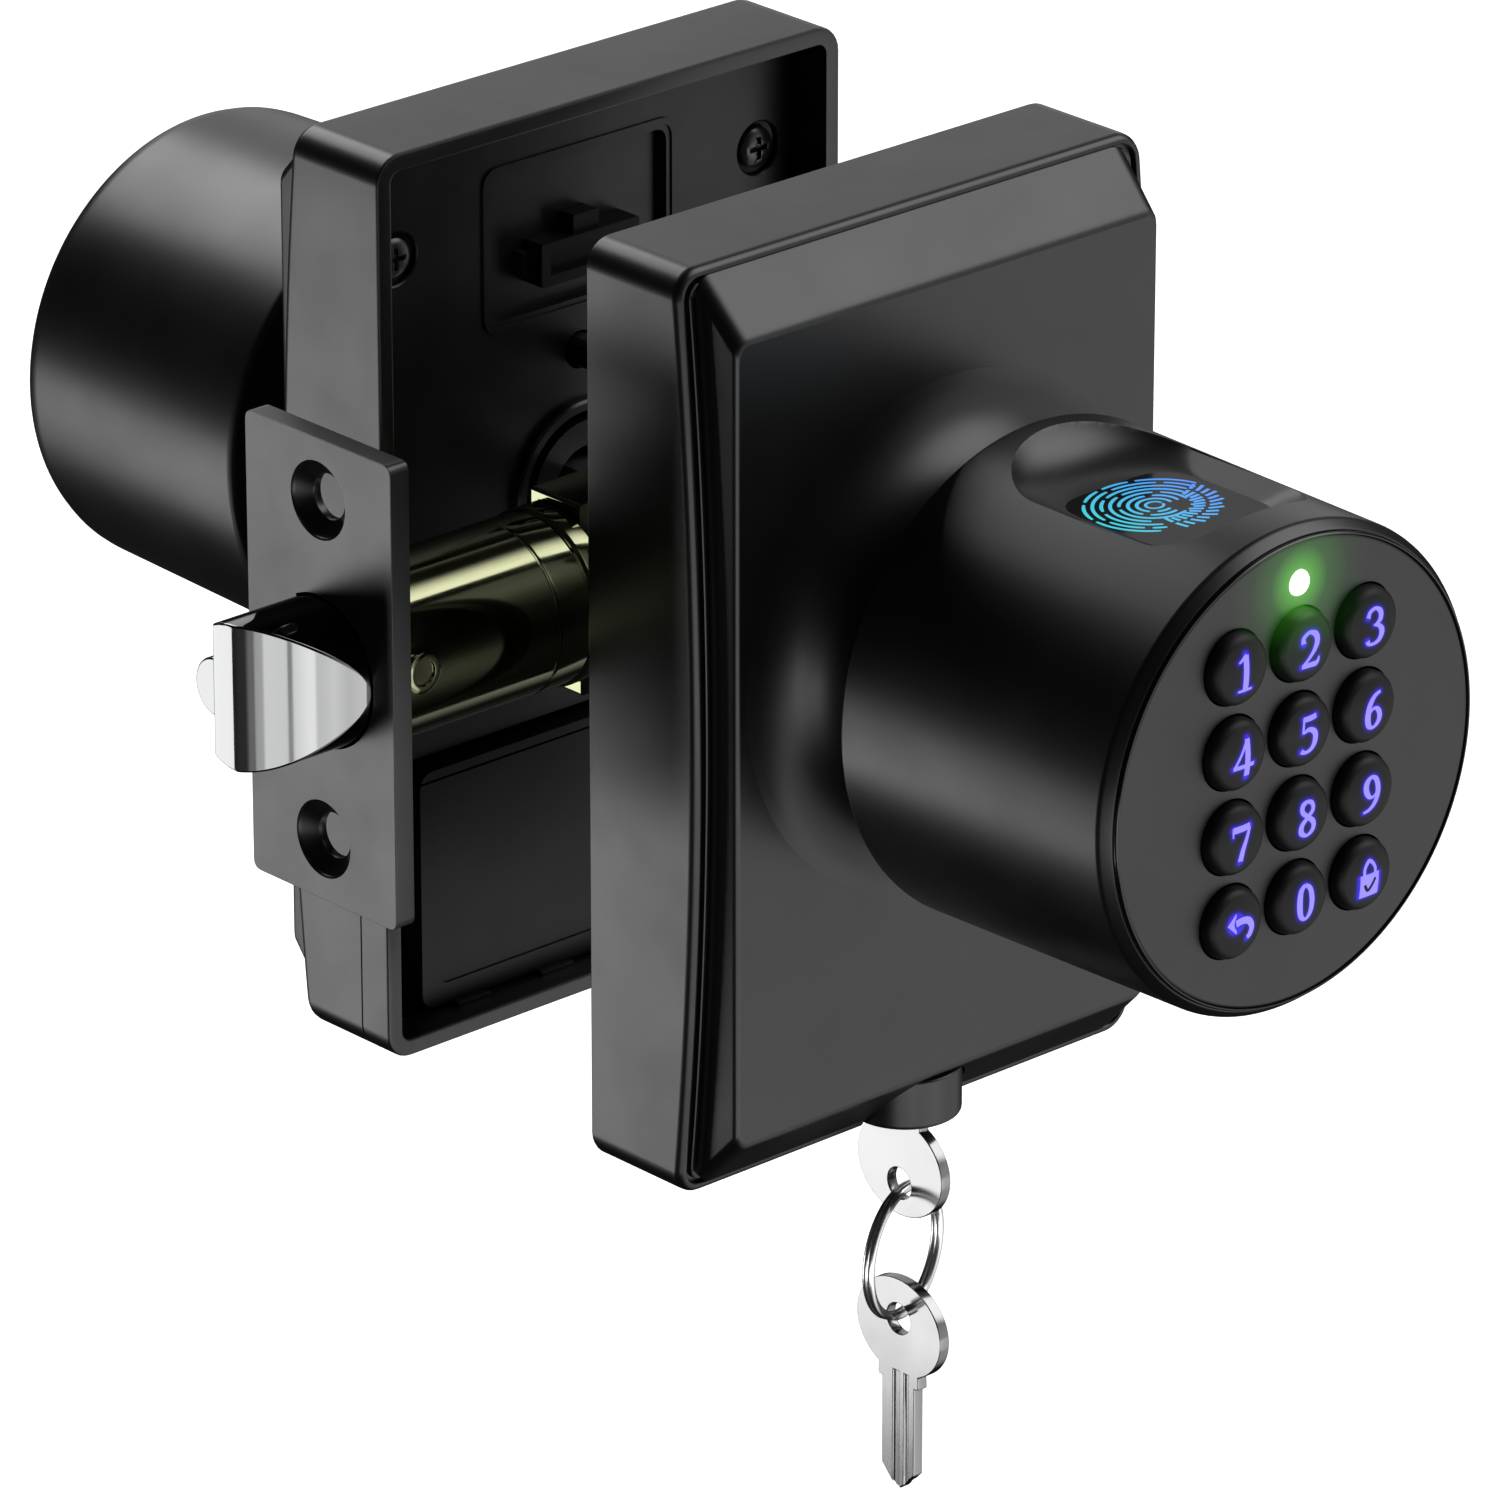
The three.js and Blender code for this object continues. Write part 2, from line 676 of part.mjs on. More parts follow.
function interiorMountingPlate() {
  const front = -plateOutside;
  const back = front - plateThickness;
  const outline = roseOutline(rose.wall + gap);
  const sheet = prismY(outline, back, front).intersect(box([-50, 50], [-40, 0], [coverTop + gap, 80]));
  const { x, low, high, depth } = pocketEdges;
  const wall = 1.2;
  const wellOutline = roundedRectangle(-x - wall, x + wall, low - wall, high + wall, 2.4);
  const well = prismY(wellOutline, front - depth - wall, back + 0.1);
  const opening = prismY(roundedRectangle(-x, x, low, high, 1.4), front - depth, 1);
  const screwHoles = [1, -1].map((side) => rod(1.7, -20, 1, "y", [side * coverScrew.x, 0, coverScrew.z], 16));
  const boltHoles = [1, -1].map((side) => rod(2.3, -20, 1, "y", [0, 0, side * throughBoltZ], 16));
  const hub = rod(stemNose.hole, -20, 1);
  return cut(union(sheet, well), opening, hub, ...screwHoles, ...boltHoles);
}

function connectorSocket() {
  const floor = -plateOutside - pocketEdges.depth + gap;
  const body = box([-6.4, 6.4], [floor, floor + 4.2], [28.4, 35]);
  const mouth = box([-5.2, 5.2], [floor + 1.4, floor + 6], [29.6, 33.8]);
  const tab = box([-2, 2], [floor, floor + 5], [35 - 0.4, 37]);
  const base = box([-8.6, 8.6], [floor, floor + 1.3], [26.6, 36.8]);
  return cut(union(body, tab, base), mouth);
}

// A pan-head screw with a cross recess, its head towards the door or away from it.
function panScrew(x, z, headY, direction, headRadius, shankRadius, length) {
  const headHeight = headRadius * 0.55;
  const profile = [
    [0, 0],
    [shankRadius, 0],
    [shankRadius, length],
    [headRadius, length],
    [headRadius, length + headHeight * 0.55],
    [headRadius * 0.6, length + headHeight],
    [0, length + headHeight],
  ].map(([radius, height]) => [radius, headY + direction * (height - length)]);
  const screw = turned(profile, "y", [x, 0, z], 14);
  const top = headY + direction * headHeight;
  const arm = headRadius * 0.55;
  const spanY = [top - 1, top + 1];
  const slots = [
    box([x - arm, x + arm], spanY, [z - 0.4, z + 0.4]),
    box([x - 0.4, x + 0.4], spanY, [z - arm, z + arm]),
  ];
  return cut(screw, ...slots);
}

function batteryBox() {
  const { x, low, high, door, room, wall } = batteryBoxEdges;
  const outer = prismY(roundedRectangle(-x, x, low, high, 1.4), room, door);
  const inner = box([-x + wall, x - wall], [room - 2, door - 0.9], [low + wall, high - wall]);
  const chamfer = polygon([
    [room + 5.7, low - 0.2],
    [room - 0.8, low + 6.1],
    [room - 5, low + 6.1],
    [room - 5, low - 4],
    [room + 5.7, low - 4],
  ]);
  return cut(outer, inner, prismX(chamfer, -40, 40));
}

// An AA cell along X, with its positive button.
function batteryCell(z, direction) {
  const profile = [[0, -24.8], [6.8, -24.8], [6.8, 24], [2.7, 24], [2.7, 25.1], [0, 25.1]];
  const facing = profile.map(([radius, height]) => [radius, direction * height]);
  return turned(facing, "x", [0, -12.2, z], 20);
}

function interiorKnobShell() {
  const front = interiorKnobDepth;
  const bore = rod(knobBore, -front + 3, -knob.rearDepth - knob.wall, "y", [0, 0, 0], 32);
  return cut(knobBody(front, 1.4), bore, rod(stemHole - 0.8, -60, 0));
}

// ---- Keys and ring, built about the key cylinder's axis ----

// A key in the plane x = 0. Its blade points up (1) or down (-1) from the middle of its oval bow.
function keyBlank(bowZ, bladeDirection, holeZ) {
  const shoulder = bowZ + bladeDirection * (keyBow.halfHeight + keyBow.shoulder);
  const tip = shoulder + bladeDirection * key.bladeLength;
  const half = key.thickness / 2;
  const oval = new THREE.Shape();
  oval.absellipse(cylinder.y, bowZ, keyBow.halfWidth, keyBow.halfHeight, 0, 2 * Math.PI, false);
  const [neckLow, neckHigh] = [Math.min(bowZ, shoulder), Math.max(bowZ, shoulder)];
  const { neckHalfWidth, bladeHalfWidth } = key;
  const neckWidth = [cylinder.y - neckHalfWidth, cylinder.y + neckHalfWidth];
  const neckPiece = box([-half, half], neckWidth, [neckLow, neckHigh]);
  const blade = polygon([
    [cylinder.y - bladeHalfWidth, bowZ + bladeDirection * 4],
    [cylinder.y - bladeHalfWidth, tip - bladeDirection * 2],
    [cylinder.y, tip],
    [cylinder.y + bladeHalfWidth, tip - bladeDirection * 2],
    [cylinder.y + bladeHalfWidth, bowZ + bladeDirection * 4],
  ]);
  const hole = rod(keyBow.holeRadius, -5, 5, "x", [0, cylinder.y, holeZ], 16);
  return cut(union(prismX(oval, -half, half, 14), neckPiece, prismX(blade, -half, half)), hole);
}

const ringTop = -72.6;
const ringPlay = 0.5; // between the ring's inner edge and the edge of a key's hole
const ringCentreZ = ringTop - ring.radius;
const lockHoleZ = ringTop - ring.wire - ringPlay + keyBow.holeRadius;
const spareHoleZ = ringTop - 2 * ring.radius + ring.wire + ringPlay - keyBow.holeRadius;

function keyInLock() {
  return keyBlank(cylinder.bottom - gap - keyBow.shoulder - keyBow.halfHeight, 1, lockHoleZ);
}

function spareKey() {
  return keyBlank(spareHoleZ - 1.1, -1, spareHoleZ);
}

// The split ring: two flat turns side by side, welded into one band, hanging in the plane of the key's hole.
function splitRing() {
  const outer = ring.radius;
  const inner = ring.radius - ring.wire;
  const half = ring.width / 2;
  const profile = [
    [inner, -half * 0.5],
    [inner + ring.wire / 2, -half],
    [outer, -half * 0.5],
    [outer, half * 0.5],
    [inner + ring.wire / 2, half],
    [inner, half * 0.5],
  ];
  const points = [...profile, profile[0]].map(([radius, height]) => new THREE.Vector2(radius, height));
  const geometry = new THREE.LatheGeometry(points, 28).rotateZ(ring.turn);
  return solidOf(geometry.translate(0, cylinder.y, ringCentreZ));
}

// ---- Assembly ----

const lock = new THREE.Group();
const exteriorHalf = new THREE.Group();
const latchGroup = new THREE.Group();
const interiorHalf = new THREE.Group();
interiorHalf.rotation.z = Math.PI;
interiorHalf.position.y = doorThickness;
lock.add(exteriorHalf, latchGroup, interiorHalf);

function addPiece(group, name, solid, finish) {
  const { vertProperties, triVerts } = solid.getMesh();
  const geometry = new THREE.BufferGeometry();
  geometry.setAttribute("position", new THREE.BufferAttribute(new Float32Array(vertProperties), 3));
  geometry.setIndex(new THREE.BufferAttribute(new Uint32Array(triVerts), 1));
  geometry.computeVertexNormals();
  const mesh = new THREE.Mesh(geometry, finish);
  mesh.name = name;
  group.add(mesh);
}

addPiece(exteriorHalf, "exterior_base", exteriorBase(), satinBlack());
addPiece(exteriorHalf, "exterior_panel", exteriorPanel(), satinBlack());
addPiece(exteriorHalf, "exterior_gasket", exteriorGasket(), blackRubber());
addPiece(exteriorHalf, "exterior_mounting_plate", exteriorMountingPlate(), zincSteel());
addPiece(exteriorHalf, "exterior_post_upper", threadedPost(1), zincSteel());
addPiece(exteriorHalf, "exterior_post_lower", threadedPost(-1), zincSteel());
addPiece(exteriorHalf, "cable_grommet", cableGrommet(), blackRubber());
addPiece(exteriorHalf, "exterior_neck", flaredNeck(), satinBlack());
addPiece(exteriorHalf, "key_cylinder_housing", keyCylinderHousing(), satinBlack());
addPiece(exteriorHalf, "key_plug", keyPlug(), brass());
addPiece(exteriorHalf, "exterior_knob_stem", knobStem(5.6, 5.6), zincSteel());
addPiece(exteriorHalf, "exterior_knob_shell", exteriorKnobShell(), satinBlack());
addPiece(exteriorHalf, "keypad_plate", keypadPlate(), satinBlack());
const buttonNames = ["1", "2", "3", "4", "5", "6", "7", "8", "9", "return", "0", "padlock"];
buttonPlaces().forEach((place, i) =>
  addPiece(exteriorHalf, `button_${buttonNames[i]}`, keypadButton(place), blackRubber()),
);
addPiece(exteriorHalf, "status_led", statusLed(), material(0xd8ffd0, 0.2, 0.0, 0x2fd020));
addPiece(exteriorHalf, "fingerprint_pad", fingerprintPad(), material(0x08090a, 0.08, 0.0));
addPiece(exteriorHalf, "knob_circuit_board", knobBoard(), boardGreen());
addPiece(exteriorHalf, "clutch_motor", clutchMotor(), zincSteel());
addPiece(exteriorHalf, "key_in_lock", keyInLock(), polishedSteel());
addPiece(exteriorHalf, "split_ring", splitRing(), chrome());
addPiece(exteriorHalf, "spare_key", spareKey(), polishedSteel());

addPiece(latchGroup, "latch_faceplate", latchFaceplate(), satinBlack());
addPiece(latchGroup, "latch_tube", latchTube(), brass());
addPiece(latchGroup, "latch_case", latchCaseBody(), brass());
addPiece(latchGroup, "latch_bolt", latchBolt(), chrome());
addPiece(latchGroup, "deadlatch_plunger", deadlatchPlunger(), chrome());
addPiece(latchGroup, "bolt_spring", spring(3.5, 0.7, bolt.tail + 0.7, -30.9, latch.y, 5, 7), zincSteel());
addPiece(latchGroup, "plunger_spring", spring(1.2, 0.5, -49.5, -31.2, latch.y + 6.6, 5, 6), zincSteel());
addPiece(latchGroup, "latch_hub", latchHub(), zincSteel());
addPiece(latchGroup, "spindle", spindle(), zincSteel());

addPiece(interiorHalf, "interior_base", interiorBase(), satinBlack());
addPiece(interiorHalf, "interior_panel", interiorPanel(), satinBlack());
addPiece(interiorHalf, "interior_neck", flaredNeck(), satinBlack());
addPiece(interiorHalf, "interior_mounting_plate", interiorMountingPlate(), blackPlastic());
addPiece(interiorHalf, "connector_socket", connectorSocket(), blackPlastic());
for (const [side, word] of [[1, "left"], [-1, "right"]]) {
  const screw = panScrew(side * coverScrew.x, coverScrew.z, -plateOutside + gap, 1, 3.1, 1.4, 5);
  addPiece(interiorHalf, `plate_screw_${word}`, screw, zincSteel());
}
for (const [side, word] of [[1, "upper"], [-1, "lower"]]) {
  const headSeat = -plateOutside - plateThickness - gap;
  const shank = doorThickness - headSeat - 1;
  const screw = panScrew(0, side * throughBoltZ, headSeat, -1, 3.6, 2, shank);
  addPiece(interiorHalf, `through_bolt_${word}`, screw, zincSteel());
}
addPiece(interiorHalf, "battery_box", batteryBox(), blackPlastic());
addPiece(interiorHalf, "battery_cell_upper", batteryCell(-37.9, 1), cellSleeve());
addPiece(interiorHalf, "battery_cell_lower", batteryCell(-51.9, -1), cellSleeve());
addPiece(interiorHalf, "battery_cover", batteryCover(), satinBlack());
addPiece(interiorHalf, "interior_knob_stem", knobStem(5.2, 4.8), zincSteel());
addPiece(interiorHalf, "interior_knob_shell", interiorKnobShell(), satinBlack());

export default lock;
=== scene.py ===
# A keypad smart lock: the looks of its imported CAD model. Lengths are in millimetres until a mesh is made.
import random
from math import acos, cos, degrees, hypot, pi, radians, sin, sqrt

import bmesh
import bpy
import numpy as np
from mathutils import Matrix, Vector


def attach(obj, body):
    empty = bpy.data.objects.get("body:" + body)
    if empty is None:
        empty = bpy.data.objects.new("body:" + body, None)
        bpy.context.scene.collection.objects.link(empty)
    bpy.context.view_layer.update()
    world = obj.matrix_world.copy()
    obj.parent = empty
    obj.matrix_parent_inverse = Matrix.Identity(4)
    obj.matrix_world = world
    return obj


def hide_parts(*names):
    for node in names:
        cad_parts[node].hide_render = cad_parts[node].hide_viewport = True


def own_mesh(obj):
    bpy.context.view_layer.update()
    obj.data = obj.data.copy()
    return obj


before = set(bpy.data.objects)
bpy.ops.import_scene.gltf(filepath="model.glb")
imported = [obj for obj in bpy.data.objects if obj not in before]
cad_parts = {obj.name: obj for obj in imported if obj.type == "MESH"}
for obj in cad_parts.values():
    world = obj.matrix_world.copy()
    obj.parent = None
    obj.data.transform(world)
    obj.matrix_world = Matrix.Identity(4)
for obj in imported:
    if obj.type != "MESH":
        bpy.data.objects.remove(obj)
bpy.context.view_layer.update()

MM = 0.001

# ---- Driving dimensions, the same as the CAD model's ----

DOOR = 36.0
ROSE_HALF = 36.3
ROSE_TOP = 51.0
ROSE_BOTTOM = -63.0
ROSE_CORNER = 3.5
ROSE_WALL = 2.2
RIM_DEPTH = 15.2
BOW = 3.1
PANEL_HALF = 33.5
PANEL_FOOT = 1.1  # how far the panel's foot stands in from the rose's top and bottom
PANEL_BEVEL = 7.4
PANEL_FACE = 21.7
KNOB_RADIUS = 30.0
KNOB_REAR = 35.4
KNOB_FACE = 77.9
INTERIOR_KNOB_FACE = 76.4
KNOB_HOLLOW = 26.6
HOLLOW_REAR = 38.2
STEM_HOLE = 11.0
KEYPAD_DEPTH = 3.6
PITCH = 10.2
KEYS_TOP = 15.5
LED = (0.0, 22.8)
SCOOP_FLOOR = 25.4
WINDOW_TOP = SCOOP_FLOOR + 0.06
NECK_BORE = 11.6
LATCH_Y = DOOR / 2
PLATE_X = -61.0
PLATE_THICK = 2.8
PLATE_HALF_WIDTH = 12.7
PLATE_HALF_HEIGHT = 28.5
BOLT_THROW = 12.7
BOLT_RADIUS = 9.0
PLUNGER_RADIUS = 3.6
PLUNGER_Y = LATCH_Y + 4.2
TUBE_RADIUS = 10.5
CASE = (-25.2, 19)
CASE_HALF_THICK = 4.2
CASE_HALF_HEIGHT = 11.9
CYLINDER_Y = -14.8
COVER_TOP = -28.6

# The interior half is built in its own frame and turned about Z against the far face of the door.
TO_INTERIOR = Matrix.Translation((0, DOOR * MM, 0)) @ Matrix.Rotation(pi, 4, "Z")

# ---- Mesh helpers ----


def rounded(points, radius, steps=4, closed=False):
    """The polyline with each corner replaced by a curve that starts a radius away from it."""
    radii = radius if isinstance(radius, (list, tuple)) else [radius] * len(points)
    made = []
    count = len(points)
    for i, point in enumerate(points):
        if radii[i] <= 0 or (not closed and i in (0, count - 1)):
            made.append(tuple(point))
            continue
        corner = np.array(point, float)
        before = np.array(points[i - 1], float) - corner
        after = np.array(points[(i + 1) % count], float) - corner
        reach = min(radii[i], 0.48 * np.linalg.norm(before), 0.48 * np.linalg.norm(after))
        start = corner + before / np.linalg.norm(before) * reach
        end = corner + after / np.linalg.norm(after) * reach
        for k in range(steps + 1):
            t = k / steps
            made.append(tuple((1 - t) ** 2 * start + 2 * t * (1 - t) * corner + t * t * end))
    return made


def lathe(profile, axis="y", centre=(0, 0, 0), segments=96):
    """Turns [radius, height] points about an axis. A profile that doesn't start on the axis is closed."""
    verts, faces, rings = [], [], []
    for radius, height in profile:
        if radius < 1e-6:
            rings.append([len(verts)])
            verts.append((0.0, 0.0, height))
            continue
        rings.append(list(range(len(verts), len(verts) + segments)))
        for k in range(segments):
            angle = 2 * pi * k / segments
            verts.append((radius * cos(angle), radius * sin(angle), height))
    pairs = list(zip(rings, rings[1:]))
    if profile[0][0] > 1e-6:
        pairs.append((rings[-1], rings[0]))
    for low, high in pairs:
        for k in range(segments):
            n = (k + 1) % segments
            corners = [low[k % len(low)], low[n % len(low)], high[n % len(high)], high[k % len(high)]]
            face = list(dict.fromkeys(corners))
            if len(face) > 2:
                faces.append(face)
    swap = {"x": lambda v: (v[2], v[0], v[1]), "y": lambda v: (v[0], v[2], v[1]), "z": lambda v: v}[axis]
    return [tuple(np.add(swap(v), centre)) for v in verts], faces


def rod(radius, low, high, axis="y", centre=(0, 0, 0), segments=64):
    return lathe([(0, low), (radius, low), (radius, high), (0, high)], axis, centre, segments)


def prism(outline, axis, low, high):
    """Extrudes an outline along an axis. It is drawn in (y, z) for X, (x, z) for Y and (x, y) for Z."""
    put = {
        "x": lambda p, h: (h, p[0], p[1]),
        "y": lambda p, h: (p[0], h, p[1]),
        "z": lambda p, h: (p[0], p[1], h),
    }[axis]
    count = len(outline)
    verts = [put(p, low) for p in outline] + [put(p, high) for p in outline]
    faces = [list(range(count)), list(range(count, 2 * count))]
    faces += [[i, (i + 1) % count, (i + 1) % count + count, i + count] for i in range(count)]
    return verts, faces


def block(x, y, z, corner=0.0, axis="y"):
    """A box, with the corners of its outline rounded about an axis."""
    spans = {"x": (y, z, x), "y": (x, z, y), "z": (x, y, z)}[axis]
    (a0, a1), (b0, b1), (h0, h1) = spans
    outline = [(a0, b0), (a1, b0), (a1, b1), (a0, b1)]
    if corner:
        outline = rounded(outline, corner, 6, closed=True)
    return prism(outline, axis, h0, h1)


def joined(*meshes):
    verts, faces = [], []
    for part_verts, part_faces in meshes:
        faces += [[i + len(verts) for i in face] for face in part_faces]
        verts += part_verts
    return verts, faces


def make(name, mesh):
    """An object from (verts, faces) in millimetres, with its faces turned outwards."""
    verts, faces = mesh
    data = bpy.data.meshes.new(name)
    data.from_pydata([tuple(c * MM for c in v) for v in verts], [], faces)
    work = bmesh.new()
    work.from_mesh(data)
    bmesh.ops.remove_doubles(work, verts=work.verts, dist=1e-7)
    bmesh.ops.recalc_face_normals(work, faces=work.faces)
    work.to_mesh(data)
    work.free()
    obj = bpy.data.objects.new(name, data)
    bpy.context.scene.collection.objects.link(obj)
    return obj


def apply(obj, kind, **settings):
    modifier = obj.modifiers.new(kind, kind)
    for key, value in settings.items():
        setattr(modifier, key, value)
    with bpy.context.temp_override(object=obj, active_object=obj):
        bpy.ops.object.modifier_apply(modifier=modifier.name)


def combine(obj, mesh, operation="DIFFERENCE"):
    """Cuts a mesh out of an object, joins it on, or keeps only what lies inside it."""
    other = make("cutter", mesh)
    apply(obj, "BOOLEAN", operation=operation, solver="EXACT", object=other)
    bpy.data.objects.remove(other)
    return obj


def soften(obj, width=0.3, segments=3, angle=35):
    limits = {"limit_method": "ANGLE", "angle_limit": radians(angle), "use_clamp_overlap": True}
    apply(obj, "BEVEL", width=width * MM, segments=segments, **limits)


def dress(data, material):
    data.materials.clear()
    data.materials.append(material)


def place(obj, material, body, *replaced, interior=False, sharp=40, slot=None):
    """Gives a piece its material, shading and body, and hides the CAD nodes it stands for."""
    if interior:
        obj.data.transform(TO_INTERIOR)
    dress(obj.data, material)
    obj.data.polygons.foreach_set("use_smooth", [True] * len(obj.data.polygons))
    obj.data.polygons.foreach_set("material_index", [0] * len(obj.data.polygons))
    obj.data.set_sharp_from_angle(angle=radians(sharp))
    apply(obj, "WEIGHTED_NORMAL", keep_sharp=True, weight=60)
    obj.data.update()
    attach(obj, body)
    if replaced:
        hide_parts(*replaced)
    return obj


def fix(obj, material, *replaced, **options):
    """Places a piece that doesn't move."""
    return place(obj, material, "lock_body", *replaced, **options)


# ---- Materials ----


def set_values(node, **values):
    """Sets a node's inputs and settings. An underscore stands for a space in the name of an input."""
    for key, value in values.items():
        socket = key.replace("_", " ")
        if socket in node.inputs:
            node.inputs[socket].default_value = value
        else:
            setattr(node, key, value)
    return node


def shader_of(material):
    return material.node_tree.nodes["Principled BSDF"]


def new_material(name, colour, roughness, metallic=0.0, **sockets):
    material = bpy.data.materials.new(name)
    material.use_nodes = True
    shader = shader_of(material)
    set_values(shader, Base_Color=(*colour, 1), Roughness=roughness, Metallic=metallic, **sockets)
    return material


def add_node(tree, kind, **values):
    return set_values(tree.nodes.new(kind), **values)


def link(tree, source, output, target, socket):
    tree.links.new(source.outputs[output], target.inputs[socket])


def grain(material, size, bump, roughness_spread=0.05, colour_spread=0.0, stretch=(1, 1, 1)):
    """Fine grain: noise of a size in millimetres drives bump, roughness and a little colour."""
    tree = material.node_tree
    shader = shader_of(material)
    spot = add_node(tree, "ShaderNodeTexCoord")
    scale = add_node(tree, "ShaderNodeMapping", Scale=[s / (size * MM) for s in stretch])
    link(tree, spot, "Object", scale, "Vector")
    fine = add_node(tree, "ShaderNodeTexNoise", Scale=1.0, Detail=3.0, Roughness=0.6)
    link(tree, scale, "Vector", fine, "Vector")
    if bump:
        bumps = add_node(tree, "ShaderNodeBump", Strength=1.0, Distance=bump * MM)
        link(tree, fine, "Fac", bumps, "Height")
        link(tree, bumps, "Normal", shader, "Normal")
    broad = add_node(tree, "ShaderNodeTexNoise", Scale=70.0, Detail=4.0, Roughness=0.55)
    link(tree, spot, "Object", broad, "Vector")
    base = shader.inputs["Roughness"].default_value
    spread = add_node(tree, "ShaderNodeMapRange", From_Min=0.3, From_Max=0.7)
    set_values(spread, To_Min=base - roughness_spread, To_Max=base + roughness_spread)
    link(tree, broad, "Fac", spread, "Value")
    link(tree, spread, "Result", shader, "Roughness")
    if colour_spread:
        colour = shader.inputs["Base Color"].default_value[:3]
        mix = add_node(tree, "ShaderNodeMix", data_type="RGBA")
        set_values(mix, A=(*[c * (1 - colour_spread) for c in colour], 1))
        set_values(mix, B=(*[min(1, c * (1 + colour_spread)) for c in colour], 1))
        link(tree, fine, "Fac", mix, "Factor")
        link(tree, mix, "Result", shader, "Base Color")
    return material


def coated(name, colour, roughness, *grain_values, **sockets):
    return grain(new_material(name, colour, roughness, **sockets), *grain_values)


def black(name, level, roughness, *grain_values, specular=0.5):
    return coated(name, (level, level, level), roughness, *grain_values, Specular_IOR_Level=specular)


def metal(name, colour, roughness, *grain_values, metallic=1.0):
    return coated(name, colour, roughness, *grain_values, metallic=metallic)


def lamp(name, colour, roughness, light, strength, *grain_values):
    """A material that shines by itself."""
    glow = {"Emission_Color": (*light, 1), "Emission_Strength": strength}
    return coated(name, colour, roughness, *grain_values, **glow)


def colour_ramp(tree, stops):
    """A ramp through (position, colour) stops."""
    ramp = add_node(tree, "ShaderNodeValToRGB")
    while len(ramp.color_ramp.elements) < len(stops):
        ramp.color_ramp.elements.new(0.5)
    for element, (position, colour) in zip(ramp.color_ramp.elements, stops):
        element.position = position
        element.color = (*colour, 1)
    return ramp


# The status LED's light ends at its reach. The stops give its colour on the way there.
LED_REACH = 11
LED_STOPS = [
    (0.0, (0.5, 1.0, 0.4)),
    (0.17, (0.13, 0.62, 0.06)),
    (0.4, (0.025, 0.15, 0.012)),
    (0.7, (0.004, 0.03, 0.002)),
    (1.0, (0, 0, 0)),
]
SIGN_LIGHT = (0.03, 0.015, 0.8)


def led_light(tree):
    """Colour of the status LED's green light, which fades with distance over whatever is near it."""
    spot = add_node(tree, "ShaderNodeTexCoord")
    apart = add_node(tree, "ShaderNodeVectorMath", operation="DISTANCE")
    apart.inputs[1].default_value = (LED[0] * MM, -KNOB_FACE * MM, LED[1] * MM)
    link(tree, spot, "Object", apart, 0)
    scale = add_node(tree, "ShaderNodeMath", operation="MULTIPLY")
    scale.inputs[1].default_value = 1 / (LED_REACH * MM)
    link(tree, apart, "Value", scale, 0)
    ramp = colour_ramp(tree, LED_STOPS)
    link(tree, scale, "Value", ramp, "Fac")
    return ramp


def keypad_light(material):
    tree = material.node_tree
    shader = set_values(shader_of(material), Emission_Strength=0.55)
    link(tree, led_light(tree), "Color", shader, "Emission Color")
    return material


def button_light(material):
    """The LED's light and, where the vertex attribute glow says so, the blue light of the sign."""
    tree = material.node_tree
    amount = add_node(tree, "ShaderNodeAttribute", attribute_name="glow")
    blue = add_node(tree, "ShaderNodeVectorMath", operation="SCALE")
    blue.inputs[0].default_value = SIGN_LIGHT
    link(tree, amount, "Fac", blue, "Scale")
    green = add_node(tree, "ShaderNodeVectorMath", operation="SCALE", Scale=0.4)
    link(tree, led_light(tree), "Color", green, 0)
    both = add_node(tree, "ShaderNodeVectorMath", operation="ADD")
    link(tree, blue, "Vector", both, 0)
    link(tree, green, "Vector", both, 1)
    shader = set_values(shader_of(material), Emission_Strength=1.0)
    link(tree, both, "Vector", shader, "Emission Color")
    return material


def ridge_material():
    """Lit fingerprint ridges, cyan on the left and blue on the right."""
    material = new_material("lit_ridges", (0.02, 0.1, 0.15), 0.3, Emission_Strength=0.9)
    tree = material.node_tree
    spot = add_node(tree, "ShaderNodeTexCoord")
    split = add_node(tree, "ShaderNodeSeparateXYZ")
    link(tree, spot, "Object", split, "Vector")
    across = add_node(tree, "ShaderNodeMapRange", From_Min=-7 * MM, From_Max=8 * MM)
    link(tree, split, "X", across, "Value")
    ramp = colour_ramp(tree, [(0.0, (0.03, 0.6, 0.72)), (1.0, (0.05, 0.22, 0.9))])
    link(tree, across, "Result", ramp, "Fac")
    link(tree, ramp, "Color", shader_of(material), "Emission Color")
    return grain(material, 0.5, 0.0, 0.05)


# Name, colour or its level, roughness; the grain's size, bump, spread of roughness and of colour, stretch.
SATIN = coated("satin_black", (0.0028, 0.0028, 0.0029), 0.34, 0.22, 0.004, 0.03, 0.25)
FACEPLATE = black("faceplate_black", 0.003, 0.33, 0.2, 0.003, 0.04, 0.2)
KEYPAD = keypad_light(black("keypad_black", 0.004, 0.4, 0.16, 0.003, 0.03, 0.2))
RIM = black("gloss_rim", 0.003, 0.14, 0.5, 0.0, 0.03)
TRAY = black("moulded_black", 0.003, 0.36, 0.3, 0.006, 0.05, 0.25, specular=0.3)
# Painted shade: the connector's black is the tray's black made rougher and less reflective, standing in for
# the shade that falls on it in its pocket.
SHADED_CONNECTOR_BLACK = black("connector_black_painted_shade", 0.003, 0.5, 0.3, 0.005, 0.05, 0.25, specular=0.13)
BATTERY_BLACK = black("battery_box_black", 0.003, 0.36, 0.3, 0.006, 0.05, 0.25, specular=0.17)
BUTTON = button_light(black("button_black", 0.002, 0.5, 0.3, 0.003, 0.05, 0.2, specular=0.24))
RUBBER = black("black_rubber", 0.012, 0.7, 0.3, 0.01, 0.08, 0.3)
